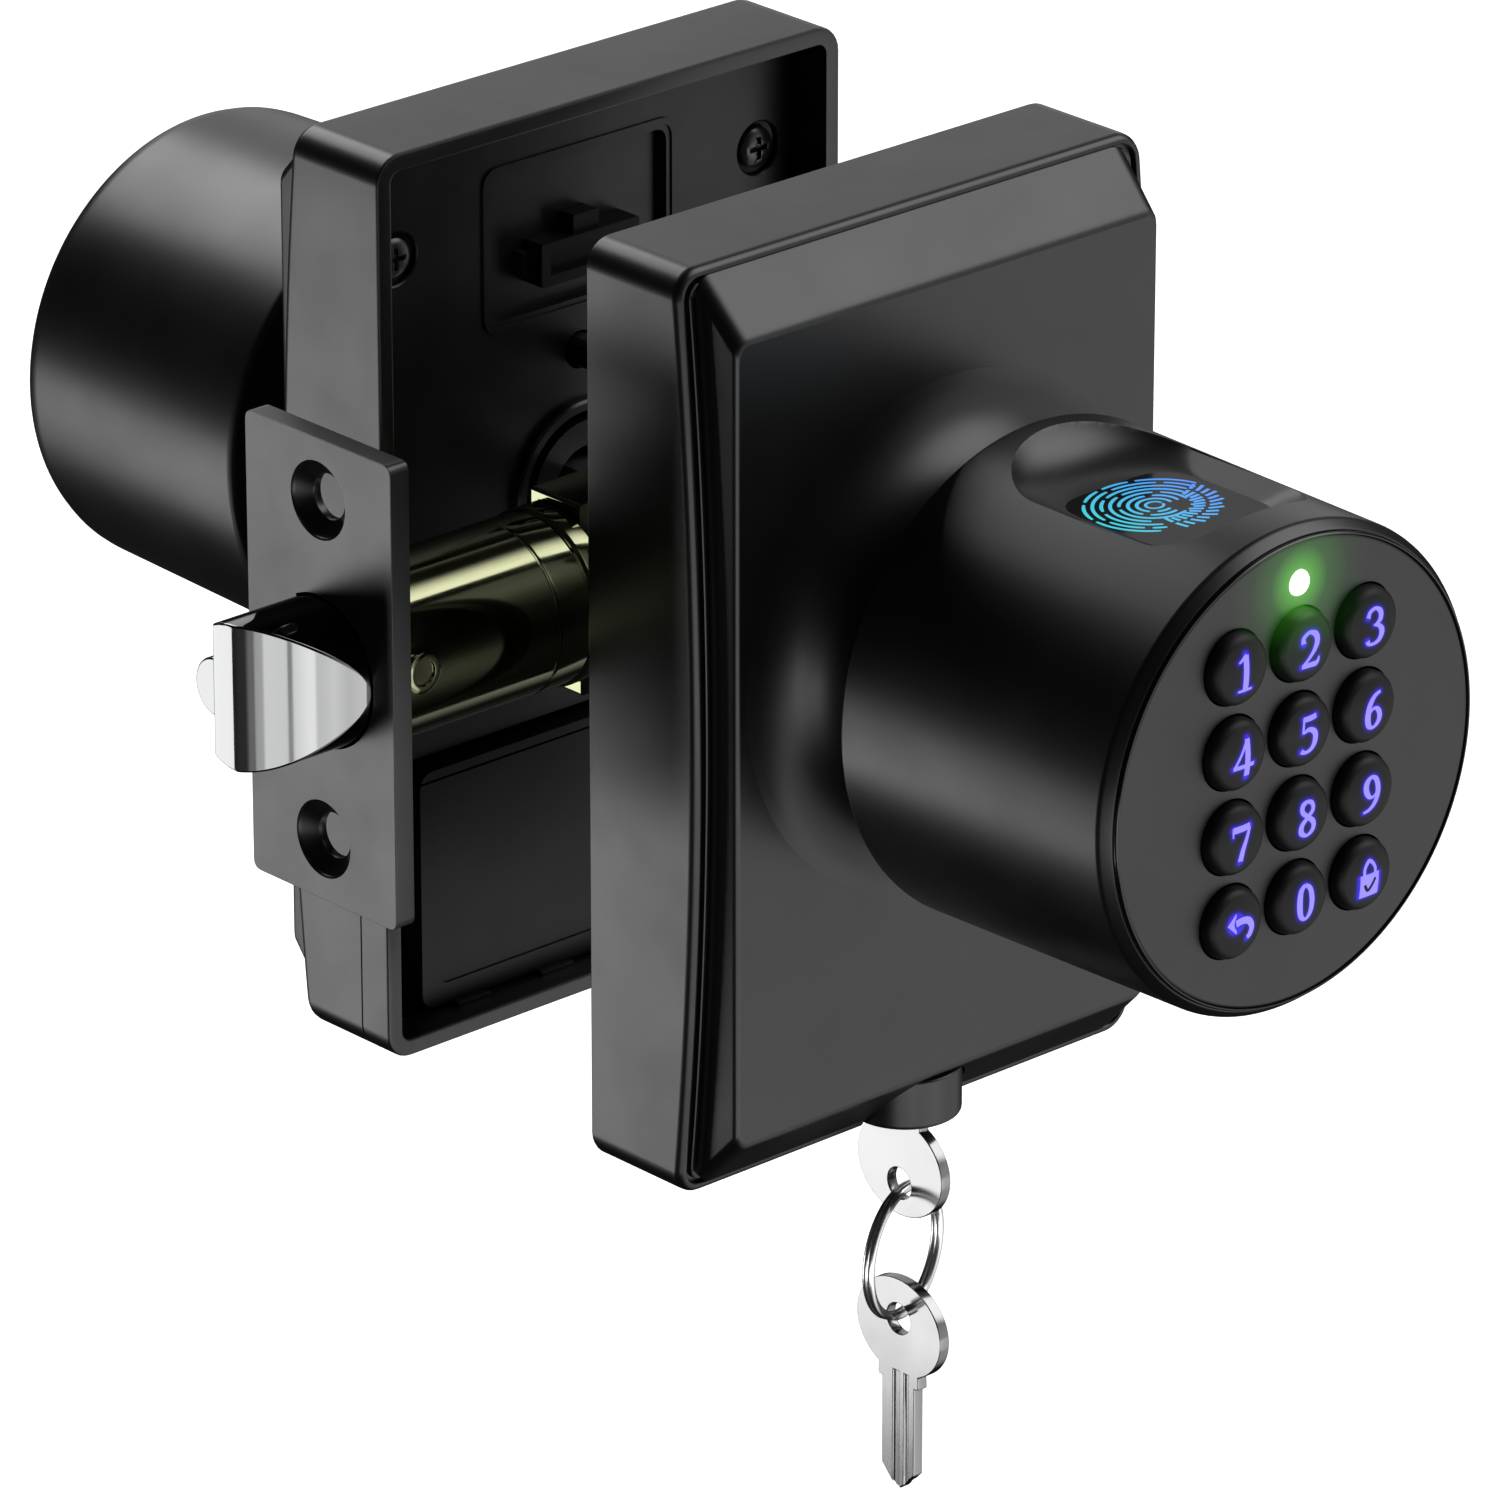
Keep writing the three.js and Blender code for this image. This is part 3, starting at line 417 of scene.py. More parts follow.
WINDOW = coated("sensor_window", (0.002, 0.0022, 0.0025), 0.09, 0.5, 0.0, 0.03, Specular_IOR_Level=0.12)
CHROME = metal("bolt_chrome", (0.21, 0.211, 0.213), 0.06, 0.6, 0.0, 0.025)
RING_STEEL = metal("ring_steel", (0.8, 0.8, 0.81), 0.26, 0.4, 0.0, 0.03)
NICKEL = metal("polished_nickel", (0.24, 0.24, 0.242), 0.16, 0.4, 0.001, 0.04, 0.0, (1, 1, 0.12))
BRASS = metal("olive_brass", (0.22, 0.225, 0.135), 0.1, 0.3, 0.0008, 0.05, 0.1, (0.1, 1, 1))
PLUG_BRASS = metal("plain_brass", (0.62, 0.47, 0.2), 0.3, 0.3, 0.002, 0.06, 0.1)
ZINC = metal("zinc_steel", (0.46, 0.47, 0.48), 0.34, 0.3, 0.003, 0.08, 0.15, (0.2, 1, 1))
BOARD = coated("circuit_board", (0.02, 0.09, 0.04), 0.35, 0.8, 0.004, 0.05, 0.3)
SLEEVE = coated("cell_sleeve", (0.03, 0.034, 0.04), 0.28, 0.6, 0.002, 0.05, 0.2)
SCREW = metal("black_screw", (0.05, 0.05, 0.052), 0.3, 0.3, 0.002, 0.06, 0.2, metallic=0.8)
DIGIT = lamp("lit_digit", (0.1, 0.08, 0.4), 0.4, (0.25, 0.2, 0.95), 1.0, 0.5, 0.0, 0.05)
LENS = lamp("led_lens", (0.8, 1.0, 0.75), 0.2, (0.75, 1.0, 0.62), 2.2, 0.5, 0.0, 0.03)
RIDGES = ridge_material()

# ---- Rose, panel and neck ----


def bow_depth(z):
    """Depth of the rose's bowed front at a height: an arc through its two ends and its middle."""
    half = (ROSE_TOP - ROSE_BOTTOM) / 2
    radius = (half * half + BOW * BOW) / (2 * BOW)
    from_centre = min(half, abs(z - (ROSE_TOP + ROSE_BOTTOM) / 2))
    return RIM_DEPTH + BOW - radius + sqrt(radius * radius - from_centre * from_centre)


def quarter(centre, reach, start, steps):
    """A quarter of an ellipse about a centre, anticlockwise from a start angle."""
    angles = [start + pi / 2 * k / steps for k in range(steps + 1)]
    return [(centre[0] + reach[0] * cos(a), centre[1] + reach[1] * sin(a)) for a in angles]


def ring_of(half, low, high, corner, depth, corner_steps=7, side_steps=28):
    """A rounded rectangle as a closed ring, symmetric about x = 0, whose depth is a function of height."""
    right = quarter((half - corner, low + corner), (corner, corner), -pi / 2, corner_steps)
    for k in range(1, side_steps):
        right.append((half, low + corner + (high - low - 2 * corner) * k / side_steps))
    right += quarter((half - corner, high - corner), (corner, corner), 0, corner_steps)
    points = right + [(-x, z) for x, z in reversed(right)]
    return [(x, -depth(z), z) for x, z in points]


def loft(rings):
    """A closed skin over rings of equal count, with a ladder of faces across its first and last ring."""
    count = len(rings[0])
    verts = [point for ring in rings for point in ring]
    faces = []
    for k in range(len(rings) - 1):
        for i in range(count):
            n = (i + 1) % count
            faces.append([k * count + i, k * count + n, (k + 1) * count + n, (k + 1) * count + i])
    for base in (0, (len(rings) - 1) * count):
        for i in range(count // 2 - 1):
            faces.append([base + i, base + i + 1, base + count - 2 - i, base + count - 1 - i])
    return verts, faces


def flat(depth):
    return lambda z: depth


def bowed(offset):
    return lambda z: bow_depth(z) - offset


# Rings of the rose, from its cavity's floor round the rim at the door to the grooved rim at the front:
# how far each stands in from the outline, and its depth.
ROSE_RINGS = [
    (3.4, flat(12.8)), (2.6, flat(12.6)), (2.2, flat(11.9)),
    (2.2, flat(0.35)), (2.1, flat(0.1)), (1.85, flat(0.0)),
    (0.45, flat(0.0)), (0.13, flat(0.13)), (0.0, flat(0.45)),
    (0.0, bowed(1.1)), (0.08, bowed(0.6)), (0.32, bowed(0.2)),
    (0.7, bowed(0.0)), (1.0, bowed(0.0)), (1.12, bowed(0.1)), (1.25, bowed(0.75)),
    (1.7, bowed(0.75)), (1.82, bowed(0.1)),
    (1.95, bowed(0.02)), (2.45, bowed(0.1)), (2.9, bowed(0.55)), (4.2, bowed(0.6)),
]


def rose_mesh():
    rings = []
    for inset, depth in ROSE_RINGS:
        corner = max(ROSE_CORNER - inset, 0.9)
        rings.append(ring_of(ROSE_HALF - inset, ROSE_BOTTOM + inset, ROSE_TOP - inset, corner, depth))
    return loft(rings)


# Rings of the panel, from its foot to its face: how far each stands in from the panel's sides and from the
# rose's two ends, its corner radius and its depth.
PANEL_RINGS = [
    (0.4, PANEL_FOOT + 0.4, 1.8, bowed(0.5)),
    (0.0, PANEL_FOOT, 2.2, bowed(0.35)),
    (0.0, PANEL_FOOT + 0.05, 2.2, bowed(-0.25)),
    (0.45, PANEL_BEVEL - 0.75, 2.2, flat(PANEL_FACE - 0.75)),
    (0.55, PANEL_BEVEL - 0.35, 2.0, flat(PANEL_FACE - 0.38)),
    (0.75, PANEL_BEVEL + 0.05, 1.9, flat(PANEL_FACE - 0.12)),
    (1.15, PANEL_BEVEL + 0.5, 1.7, flat(PANEL_FACE)),
]


def panel_mesh():
    rings = []
    for side, end, corner, depth in PANEL_RINGS:
        rings.append(ring_of(PANEL_HALF - side, ROSE_BOTTOM + end, ROSE_TOP - end, corner, depth))
    return loft(rings)


def neck_mesh():
    """The flare that grows out of the panel's face without a seam."""
    foot, top, rise, steps = 31.6, 21.4, 9.2, 14
    start = -PANEL_FACE - 0.01
    profile = [(NECK_BORE, -PANEL_FACE + 0.6), (foot, -PANEL_FACE + 0.6)]
    for k in range(steps + 1):
        angle = pi / 2 * k / steps
        profile.append((foot - (foot - top) * sin(angle), start - rise * (1 - cos(angle))))
    profile += [(top - 0.1, -KNOB_REAR + 0.7), (NECK_BORE, -KNOB_REAR + 0.7)]
    return lathe(profile, segments=112)


def bored(name, mesh, cut):
    """A shell with the neck's bore and one more cut."""
    shell = combine(make(name, mesh), rod(NECK_BORE, -40, 5))
    return combine(shell, cut)


def exterior_shells():
    boss_room = rod(7.1, -75, -56, "z", (0, CYLINDER_Y, 0))
    rose = bored("exterior_rose_shell", rose_mesh(), boss_room)
    fix(rose, SATIN, "exterior_base")
    panel = bored("exterior_panel_shell", panel_mesh(), boss_room)
    fix(panel, SATIN, "exterior_panel", sharp=50)
    fix(make("exterior_neck_flare", neck_mesh()), SATIN, "exterior_neck")


# ---- The exterior knob ----

BUTTONS = ["1", "2", "3", "4", "5", "6", "7", "8", "9", "return", "0", "padlock"]


def at_face(points, face=KNOB_FACE):
    """Section points that are measured from a knob's face."""
    return [(radius, y - face) for radius, y in points]


# Outer half of a knob's section up to its front edge, and that edge on the exterior knob.
KNOB_SIDE = [
    (STEM_HOLE, -KNOB_REAR),
    (KNOB_RADIUS - 1, -KNOB_REAR),
    (KNOB_RADIUS - 0.4, -KNOB_REAR - 0.12),
    (KNOB_RADIUS - 0.1, -KNOB_REAR - 0.4),
    (KNOB_RADIUS, -KNOB_REAR - 0.9),
]
FRONT_EDGE = [(29.22, 2), (29.15, 1.65), (28.95, 1.3), (28.3, 0.5), (28.15, 0.35), (28.02, 0.35)]
FRONT_EDGE += [(28, 0.5), (27.95, 3.5), (KNOB_HOLLOW, KEYPAD_DEPTH)]
HOLLOW = [(KNOB_HOLLOW, -HOLLOW_REAR), (STEM_HOLE, -HOLLOW_REAR)]


def scoop_mesh():
    """The fingertip recess: an open-topped pocket with sloping sides and a rear end that sweeps up."""
    levels, corner_steps, side_steps, rear_steps = 12, 12, 10, 16
    sweep = radians(66)
    length = 7.2
    corner = 5.2
    rings = []
    for k in range(levels + 1):
        angle = sweep * k / levels
        height = SCOOP_FLOOR + 9 * (1 - cos(angle))
        rise = height - SCOOP_FLOOR
        half = 9.3 + 3.1 * min(1.0, rise / 1.5) + 0.3 * max(0.0, rise - 1.5)
        rear = -46.4 + 9.6 * sin(angle)
        front = -67.4 - 1.05 * min(rise, 3.6)
        right = quarter((half - corner, front + corner), (corner, corner), -pi / 2, corner_steps)
        for j in range(1, side_steps):
            right.append((half, front + corner + (rear - length - front - corner) * j / side_steps))
        right += quarter((0, rear - length), (half, length), 0, rear_steps)
        right[-1] = (0.4, right[-1][1])
        points = right + [(-x, y) for x, y in reversed(right)]
        rings.append([(x, y, height) for x, y in points])
    return loft(rings)


def ribbon(points, height_at, thickness=0.06, steps=6):
    """A raised stripe along a smooth path of (u, v, width) points on a surface height_at(u, v, level)."""
    path = np.array(points, float)
    samples = []
    for i in range(len(path) - 1):
        before = path[max(i - 1, 0)]
        after = path[min(i + 2, len(path) - 1)]
        a, b = path[i], path[i + 1]
        squared = 2 * before - 5 * a + 4 * b - after
        cubed = 3 * a - before - 3 * b + after
        for k in range(steps if i < len(path) - 2 else steps + 1):
            t = k / steps
            samples.append(0.5 * (2 * a + (b - before) * t + squared * t * t + cubed * t**3))
    samples = np.array(samples)
    along = np.gradient(samples[:, :2], axis=0)
    along /= np.maximum(np.linalg.norm(along, axis=1, keepdims=True), 1e-9)
    across = np.stack([-along[:, 1], along[:, 0]], 1) * samples[:, 2:3] / 2
    corners = ((1, thickness), (-1, thickness), (-1, -thickness), (1, -thickness))
    rings = []
    for (u, v, _), (du, dv) in zip(samples, across):
        rings.append([height_at(u + side * du, v + side * dv, level) for side, level in corners])
    return loft(rings), samples


# Strokes of each sign as (x, y, width), in hundredths of its box.
SIGNS = {
    "1": [
        [(50, 96, 20), (50, 50, 20), (50, 5, 20)],
        [(24, 80, 6), (38, 87, 9), (52, 97, 8)],
        [(24, 3, 7), (50, 3, 8), (76, 3, 7)],
    ],
    "2": [
        [(20, 70, 17), (21, 84, 12), (44, 95, 10), (68, 85, 19), (72, 66, 20), (60, 46, 15), (40, 26, 10),
         (20, 9, 9)],
        [(18, 8, 14), (50, 8, 16), (74, 8, 16), (82, 24, 5)],
    ],
    "3": [
        [(20, 76, 14), (28, 90, 11), (50, 96, 10), (68, 84, 18), (66, 66, 17), (50, 56, 8), (40, 54, 6)],
        [(42, 54, 6), (62, 48, 13), (74, 30, 21), (66, 10, 17), (44, 2, 10), (26, 5, 11), (20, 14, 15)],
    ],
    "4": [
        [(60, 95, 9), (38, 62, 8), (14, 30, 8)],
        [(10, 28, 12), (50, 28, 12), (88, 28, 12)],
        [(62, 98, 18), (62, 50, 20), (62, 0, 20)],
    ],
    "5": [
        [(30, 91, 14), (55, 91, 15), (78, 93, 14)],
        [(31, 95, 7), (27, 75, 7), (24, 56, 7)],
        [(25, 57, 7), (48, 63, 13), (70, 50, 19), (72, 26, 20), (60, 8, 15), (38, 2, 11), (22, 8, 15)],
    ],
    "6": [
        [(78, 94, 8), (55, 88, 12), (34, 68, 17), (26, 38, 20), (32, 12, 17), (50, 3, 10), (68, 14, 17),
         (73, 32, 19), (64, 50, 15), (48, 56, 8), (32, 46, 7)],
    ],
    "7": [
        [(18, 88, 18), (50, 88, 18), (80, 89, 17)],
        [(17, 94, 6), (15, 84, 5), (14, 70, 4)],
        [(78, 86, 10), (62, 55, 13), (50, 28, 17), (45, 0, 19)],
    ],
    "8": [
        [(50, 95, 10), (32, 87, 15), (30, 70, 15), (50, 54, 14), (72, 36, 17), (72, 15, 17), (50, 3, 10),
         (28, 15, 17), (28, 36, 16), (50, 54, 12), (70, 70, 14), (68, 87, 14), (50, 95, 10)],
    ],
    "0": [
        [(50, 96, 10), (32, 82, 17), (26, 50, 20), (32, 17, 17), (50, 3, 10), (68, 17, 17), (74, 50, 20),
         (68, 82, 17), (50, 96, 10)],
    ],
    "return": [
        [(0, 62, 1), (15, 62, 30), (30, 62, 58), (32, 62, 58)],
        [(30, 63, 20), (55, 66, 20), (80, 60, 21), (93, 42, 21), (88, 24, 20), (76, 15, 15)],
    ],
    "padlock": [
        [(30, 52, 10), (30, 76, 10), (50, 95, 11), (70, 76, 10), (70, 52, 10)],
    ],
    "tick": [
        [(30, 34, 9), (45, 17, 10), (72, 46, 9)],
    ],
}
SIGNS["padlock"] += [[(14, y, 15), (50, y, 15), (86, y, 15)] for y in (6, 18, 30, 42, 54)]
SIGNS["9"] = [[(100 - x, 98 - y, w) for x, y, w in stroke] for stroke in SIGNS["6"]]

SIGN_HEIGHT = 4.5
SIGN_WIDTH = 4.0
BUTTON_CROWN = 2.15
CROWN_RADIUS = 3.5
BUTTON_RADIUS = 4.28
GLOW_REACH = 0.15


def crown(radius):
    """How far the button's top stands in front of the keypad plate at a distance from its middle."""
    return BUTTON_CROWN - 0.5 * (radius / CROWN_RADIUS) ** 2


def sized(stroke):
    """A stroke in millimetres from the middle of its box."""
    wide, high = SIGN_WIDTH / 100, SIGN_HEIGHT / 100
    return [((x - 50) * wide, (y - 50) * high, width * wide) for x, y, width in stroke]


def make_button(name, x, z):
    steps = 26
    profile = [(CROWN_RADIUS * k / steps, -crown(CROWN_RADIUS * k / steps)) for k in range(steps + 1)]
    profile += [(3.85, -1.42), (4.1, -1.1), (4.25, -0.65), (BUTTON_RADIUS, 0), (BUTTON_RADIUS, 4), (0, 4)]
    cap = make(f"button_{name}_cap", lathe(at_face(profile), centre=(x, 0, z), segments=108))

    def on_crown(u, v, level):
        return (x + u, -KNOB_FACE - crown(hypot(u, v)) - level, z + v)

    meshes, marks = [], []
    for stroke in SIGNS[name]:
        mesh, samples = ribbon(sized(stroke), on_crown, 0.035)
        meshes.append(mesh)
        marks.append(samples)
    # The glow fades with distance from the nearest stroke, and lies on the crown only.
    marks = np.concatenate(marks)
    places = np.array([v.co for v in cap.data.vertices]) / MM
    apart = np.hypot(places[:, 0:1] - x - marks[:, 0], places[:, 2:3] - z - marks[:, 1]) - marks[:, 2] / 2
    nearest = np.maximum(apart.min(axis=1), 0)
    glow = np.exp(-nearest / GLOW_REACH) * (places[:, 1] < -KNOB_FACE - 1.3)
    place(cap, BUTTON, f"button_{name}", f"button_{name}")
    layer = cap.data.attributes.new("glow", "FLOAT", "POINT")
    layer.data.foreach_set("value", glow.astype(np.float32))
    sign = make(f"button_{name}_sign", joined(*meshes))
    place(sign, DIGIT, f"button_{name}", slot="led_green")
    if name == "padlock":
        tick = make("button_padlock_tick", ribbon(sized(SIGNS["tick"][0]), on_crown, 0.06)[0])
        place(tick, BUTTON, "button_padlock", slot="button_black")


def fingerprint():
    """A fingerprint's ridges on the sensor window: broken ovals about a core, and a fan at one side."""
    rng = random.Random(7)
    meshes = []

    def on_pad(u, v, level):
        return (u - 0.2, v - 55.2, WINDOW_TOP + level)

    def oval(reach, low, high, width):
        count = max(4, int(abs(high - low) / 9) + 2)
        turns = np.radians(np.linspace(low, high, count))
        points = []
        for i, a in enumerate(turns):
            thin = 0.75 if i in (0, count - 1) else 1.0
            points.append((1.08 * reach * cos(a), 0.96 * reach * sin(a), width * thin))
        return points

    meshes.append(ribbon(oval(1.0, 0, 345, 0.34), on_pad, 0.03)[0])
    for ring in range(1, 8):
        reach = 1.0 + 0.97 * ring
        # Each ridge runs round the back and the left. Ahead, to the right, it gives way to the fan.
        fan_low, fan_high = (-118, 4) if ring > 3 else (-70, -20)
        angle = fan_high + rng.uniform(0, 14)
        end = 360 + fan_low - rng.uniform(0, 10)
        while angle < end - 8:
            length = degrees(rng.uniform(3.0, 10.5) / reach)
            stop = min(angle + length, end)
            meshes.append(ribbon(oval(reach, angle, stop, 0.42), on_pad, 0.03, 3)[0])
            angle = stop + degrees(0.85 / reach)
    # The fan: strokes that curve away from the core side by side, in two rows.
    for ray in range(14):
        turn = radians(-116 + 117 * ray / 13)
        for inner, outer in ((4.1 + 0.35 * (ray % 2), 5.75), (6.25, 7.9 - 0.3 * (ray % 2))):
            points = []
            for t in (0, 0.5, 1):
                reach = inner + (outer - inner) * t
                lean = turn + 0.24 * (reach - 4.0) / 4.0
                points.append((1.05 * reach * cos(lean), 0.93 * reach * sin(lean), 0.44))
            meshes.append(ribbon(points, on_pad, 0.03, 3)[0])
    sign = make("fingerprint_ridges", joined(*meshes))
    place(sign, RIDGES, "exterior_knob", slot="led_green")


def exterior_knob():
    shell = make("exterior_knob_body", lathe(KNOB_SIDE + at_face(FRONT_EDGE) + HOLLOW, segments=160))
    # Under the scoop the wall is thickened by a segment of solid metal with a flat underside.
    arc = [radians(47.8 + 84.4 * k / 24) for k in range(25)]
    segment = [(28.9 * cos(a), 28.9 * sin(a)) for a in arc]
    combine(shell, prism(segment, "y", -KNOB_FACE + 4, -37), "UNION")
    combine(shell, scoop_mesh())
    soften(shell, 0.22, 2, 38)
    place(shell, SATIN, "exterior_knob", "exterior_knob_shell", sharp=32)

    rim = [(27.62, 0.6), (27.62, -0.02), (27.7, -0.14), (27.82, -0.16), (27.94, -0.06), (27.98, 0.1)]
    rim.append((27.98, 0.6))
    rim = make("keypad_rim", lathe(at_face(rim), segments=160))
    place(rim, RIM, "exterior_knob", slot="gloss_black")

    disc = [(0, KEYPAD_DEPTH), (27.6, KEYPAD_DEPTH)]
    disc += [(27.6, 0.3), (27.52, 0.12), (27.3, 0.02), (26.9, 0), (0, 0)]
    plate = make("keypad_disc", lathe(at_face(disc), segments=160))
    spots = [((i % 3 - 1) * PITCH, 0, KEYS_TOP - i // 3 * PITCH) for i in range(len(BUTTONS))]
    holes = [rod(4.55, -80, -70, centre=spot, segments=48) for spot in spots]
    holes.append(rod(1.6, -80, -70, centre=(LED[0], 0, LED[1]), segments=32))
    combine(plate, joined(*holes))
    soften(plate, 0.12, 2, 50)
    place(plate, KEYPAD, "exterior_knob", "keypad_plate", sharp=12)

    for name, (x, _, z) in zip(BUTTONS, spots):
        make_button(name, x, z)

    lens = [(0, 3.5), (1.5, 3.5), (1.5, 0), (1.35, -0.25), (1.0, -0.45), (0.5, -0.55), (0, -0.58)]
    led = make("status_led_lens", lathe(at_face(lens), centre=(LED[0], 0, LED[1]), segments=40))
    place(led, LENS, "exterior_knob", "status_led")

    pane = block((-9.1, 9.1), (-66.9, -47.4), (SCOOP_FLOOR - 1.5, WINDOW_TOP), 5.0, "z")
    window = make("fingerprint_window", pane)
    soften(window, 0.12, 2, 50)
    place(window, WINDOW, "exterior_knob", "fingerprint_pad")
    fingerprint()


# ---- Key cylinder, keys and ring ----

RING_RADIUS = 8.0
RING_TURN = radians(17)
RING_TOP = -72.6
RING_CENTRE = RING_TOP - 8.6


def key_cylinder():
    profile = rounded(
        [(4.3, -38.0), (5.4, -38.0), (5.4, -56.4), (6.8, -56.4), (6.8, -62.6), (4.3, -62.6)],
        [0, 0.3, 0, 0.3, 0.6, 0.2],
        4,
    )
    boss = make("key_cylinder_boss", lathe(profile, "z", (0, CYLINDER_Y, 0), 80))
    fix(boss, SATIN, "key_cylinder_housing")
    plug_profile = rounded([(0, -39), (4, -39), (4, -62.4), (0, -62.4)], [0, 0.2, 0.35, 0], 3)
    plug = make("key_plug_core", lathe(plug_profile, "z", (0, CYLINDER_Y, 0), 64))
    combine(plug, block((-1.1, 1.1), (CYLINDER_Y - 3.1, CYLINDER_Y + 3.1), (-70, -44)))
    place(plug, PLUG_BRASS, "key_plug", "key_plug")


def make_key(name, node, bow_z, direction, hole_z):
    """A flat key in the plane x = 0, its blade up (1) or down (-1), with two grooves on each side."""
    shoulder = bow_z + direction * 7.2
    tip = shoulder + direction * 14
    outline = [
        (7.3 * sin(a), bow_z - direction * 6.3 * cos(a))
        for a in np.linspace(-radians(152), radians(152), 49)
    ]
    outline += [(3.5, shoulder - direction * 0.35), (3.5, shoulder), (2.8, shoulder + direction * 0.1)]
    outline += [(2.8, tip - direction * 2.4), (0.5, tip), (-0.5, tip), (-2.8, tip - direction * 2.4)]
    outline += [(-2.8, shoulder + direction * 0.1), (-3.5, shoulder), (-3.5, shoulder - direction * 0.35)]
    key = make(name, prism([(CYLINDER_Y + y, z) for y, z in outline], "x", -0.75, 0.75))
    combine(key, rod(2.0, -3, 3, "x", (0, CYLINDER_Y, hole_z), 40))
    ends = sorted([shoulder - direction * 1.4, tip + direction * 1])
    for side in (-1, 1):
        depth = sorted([side * 0.45, side * 2])
        combine(key, block(depth, (CYLINDER_Y - 0.2, CYLINDER_Y + 0.85), ends, axis="x"))
        combine(key, block(depth, (CYLINDER_Y - 1.75, CYLINDER_Y - 1.05), ends, axis="x"))
    soften(key, 0.16, 2, 40)
    place(key, NICKEL, node, node)


def wound(steps, wire_at):
    """A skin round a wire. wire_at(t, turn) is a point of its surface at a fraction t of its length."""
    turns = np.linspace(0, 2 * pi, 12, endpoint=False)
    return loft([[wire_at(k / steps, turn) for turn in turns] for k in range(steps + 1)])


def split_ring():
    """Flattened wire wound twice, its turns side by side and its ends tapered."""
    lean_cos, lean_sin = cos(RING_TURN), sin(RING_TURN)

    def wire_at(t, turn):
        angle = 4 * pi * t + radians(250)
        taper = min(1.0, 0.45 + 9 * min(t, 1 - t))
        radius = RING_RADIUS + 0.56 * cos(turn)
        shift = 1.1 * (t - 0.5) + 0.5 * taper * sin(turn)
        x, z = radius * cos(angle), radius * sin(angle)
        y = x * lean_sin + shift * lean_cos + CYLINDER_Y
        return (x * lean_cos - shift * lean_sin, y, z + RING_CENTRE)

    place(make("split_ring_coil", wound(128, wire_at)), RING_STEEL, "split_ring", "split_ring")


# ---- The latch ----


def d_outline(radius, flat_at, segments=40):
    start = acos(flat_at / radius)
    turns = np.linspace(start, 2 * pi - start, segments)
    return [(LATCH_Y + radius * cos(a), radius * sin(a)) for a in turns]


def bolt_nose(tip):
    """A D-section bar of slices across Y: a flat tip, then a convex ramp towards the exterior side."""
    rear, ramp_depth, ramp_width = -47.5, 12.5, 8.96
    flat_y = LATCH_Y + 3.9
    slopes = [radians(30 + 45 * k / 32) for k in range(33)]
    along = [cos(slopes[0]) - cos(a) for a in slopes]
    across = [sin(a) - sin(slopes[0]) for a in slopes]
    slices = [(flat_y, tip + 0.25), (flat_y - 0.07, tip + 0.07), (flat_y - 0.25, tip)]
    slices += [(flat_y - 1.3, tip), (flat_y - 2.6, tip)]
    for u, v in zip(along, across):
        slices.append((LATCH_Y - ramp_width * v / across[-1], tip + ramp_depth * u / along[-1]))
    turns = [radians(30 * k) for k in range(4)]
    rings = []
    for y, front in slices:
        half = sqrt(BOLT_RADIUS ** 2 - (y - LATCH_Y) ** 2)
        # The front corners of each slice are rounded.
        round_off = min(0.3, half * 0.3)
        upper = [(front + round_off * (1 - cos(a)), half - round_off * (1 - sin(a))) for a in turns]
        section = [(x, -z) for x, z in reversed(upper)] + upper + [(rear, half), (rear, -half)]
        rings.append([(x, y, z) for x, z in section])
    return loft(rings)


def compression_spring(node, joint, radius, wire, start, end, y, keep):
    """Round wire wound along X, from its moving end to its fixed end."""
    turns = 5

    def wire_at(t, turn):
        angle = 2 * pi * turns * t
        out = radius + wire * cos(turn)
        x = start + (end - start) * t + wire * sin(turn)
        return (x, y + out * cos(angle), out * sin(angle))

    coil = make(node + "_coil", wound(160, wire_at))
    fix(coil, ZINC, node)
    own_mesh(coil)


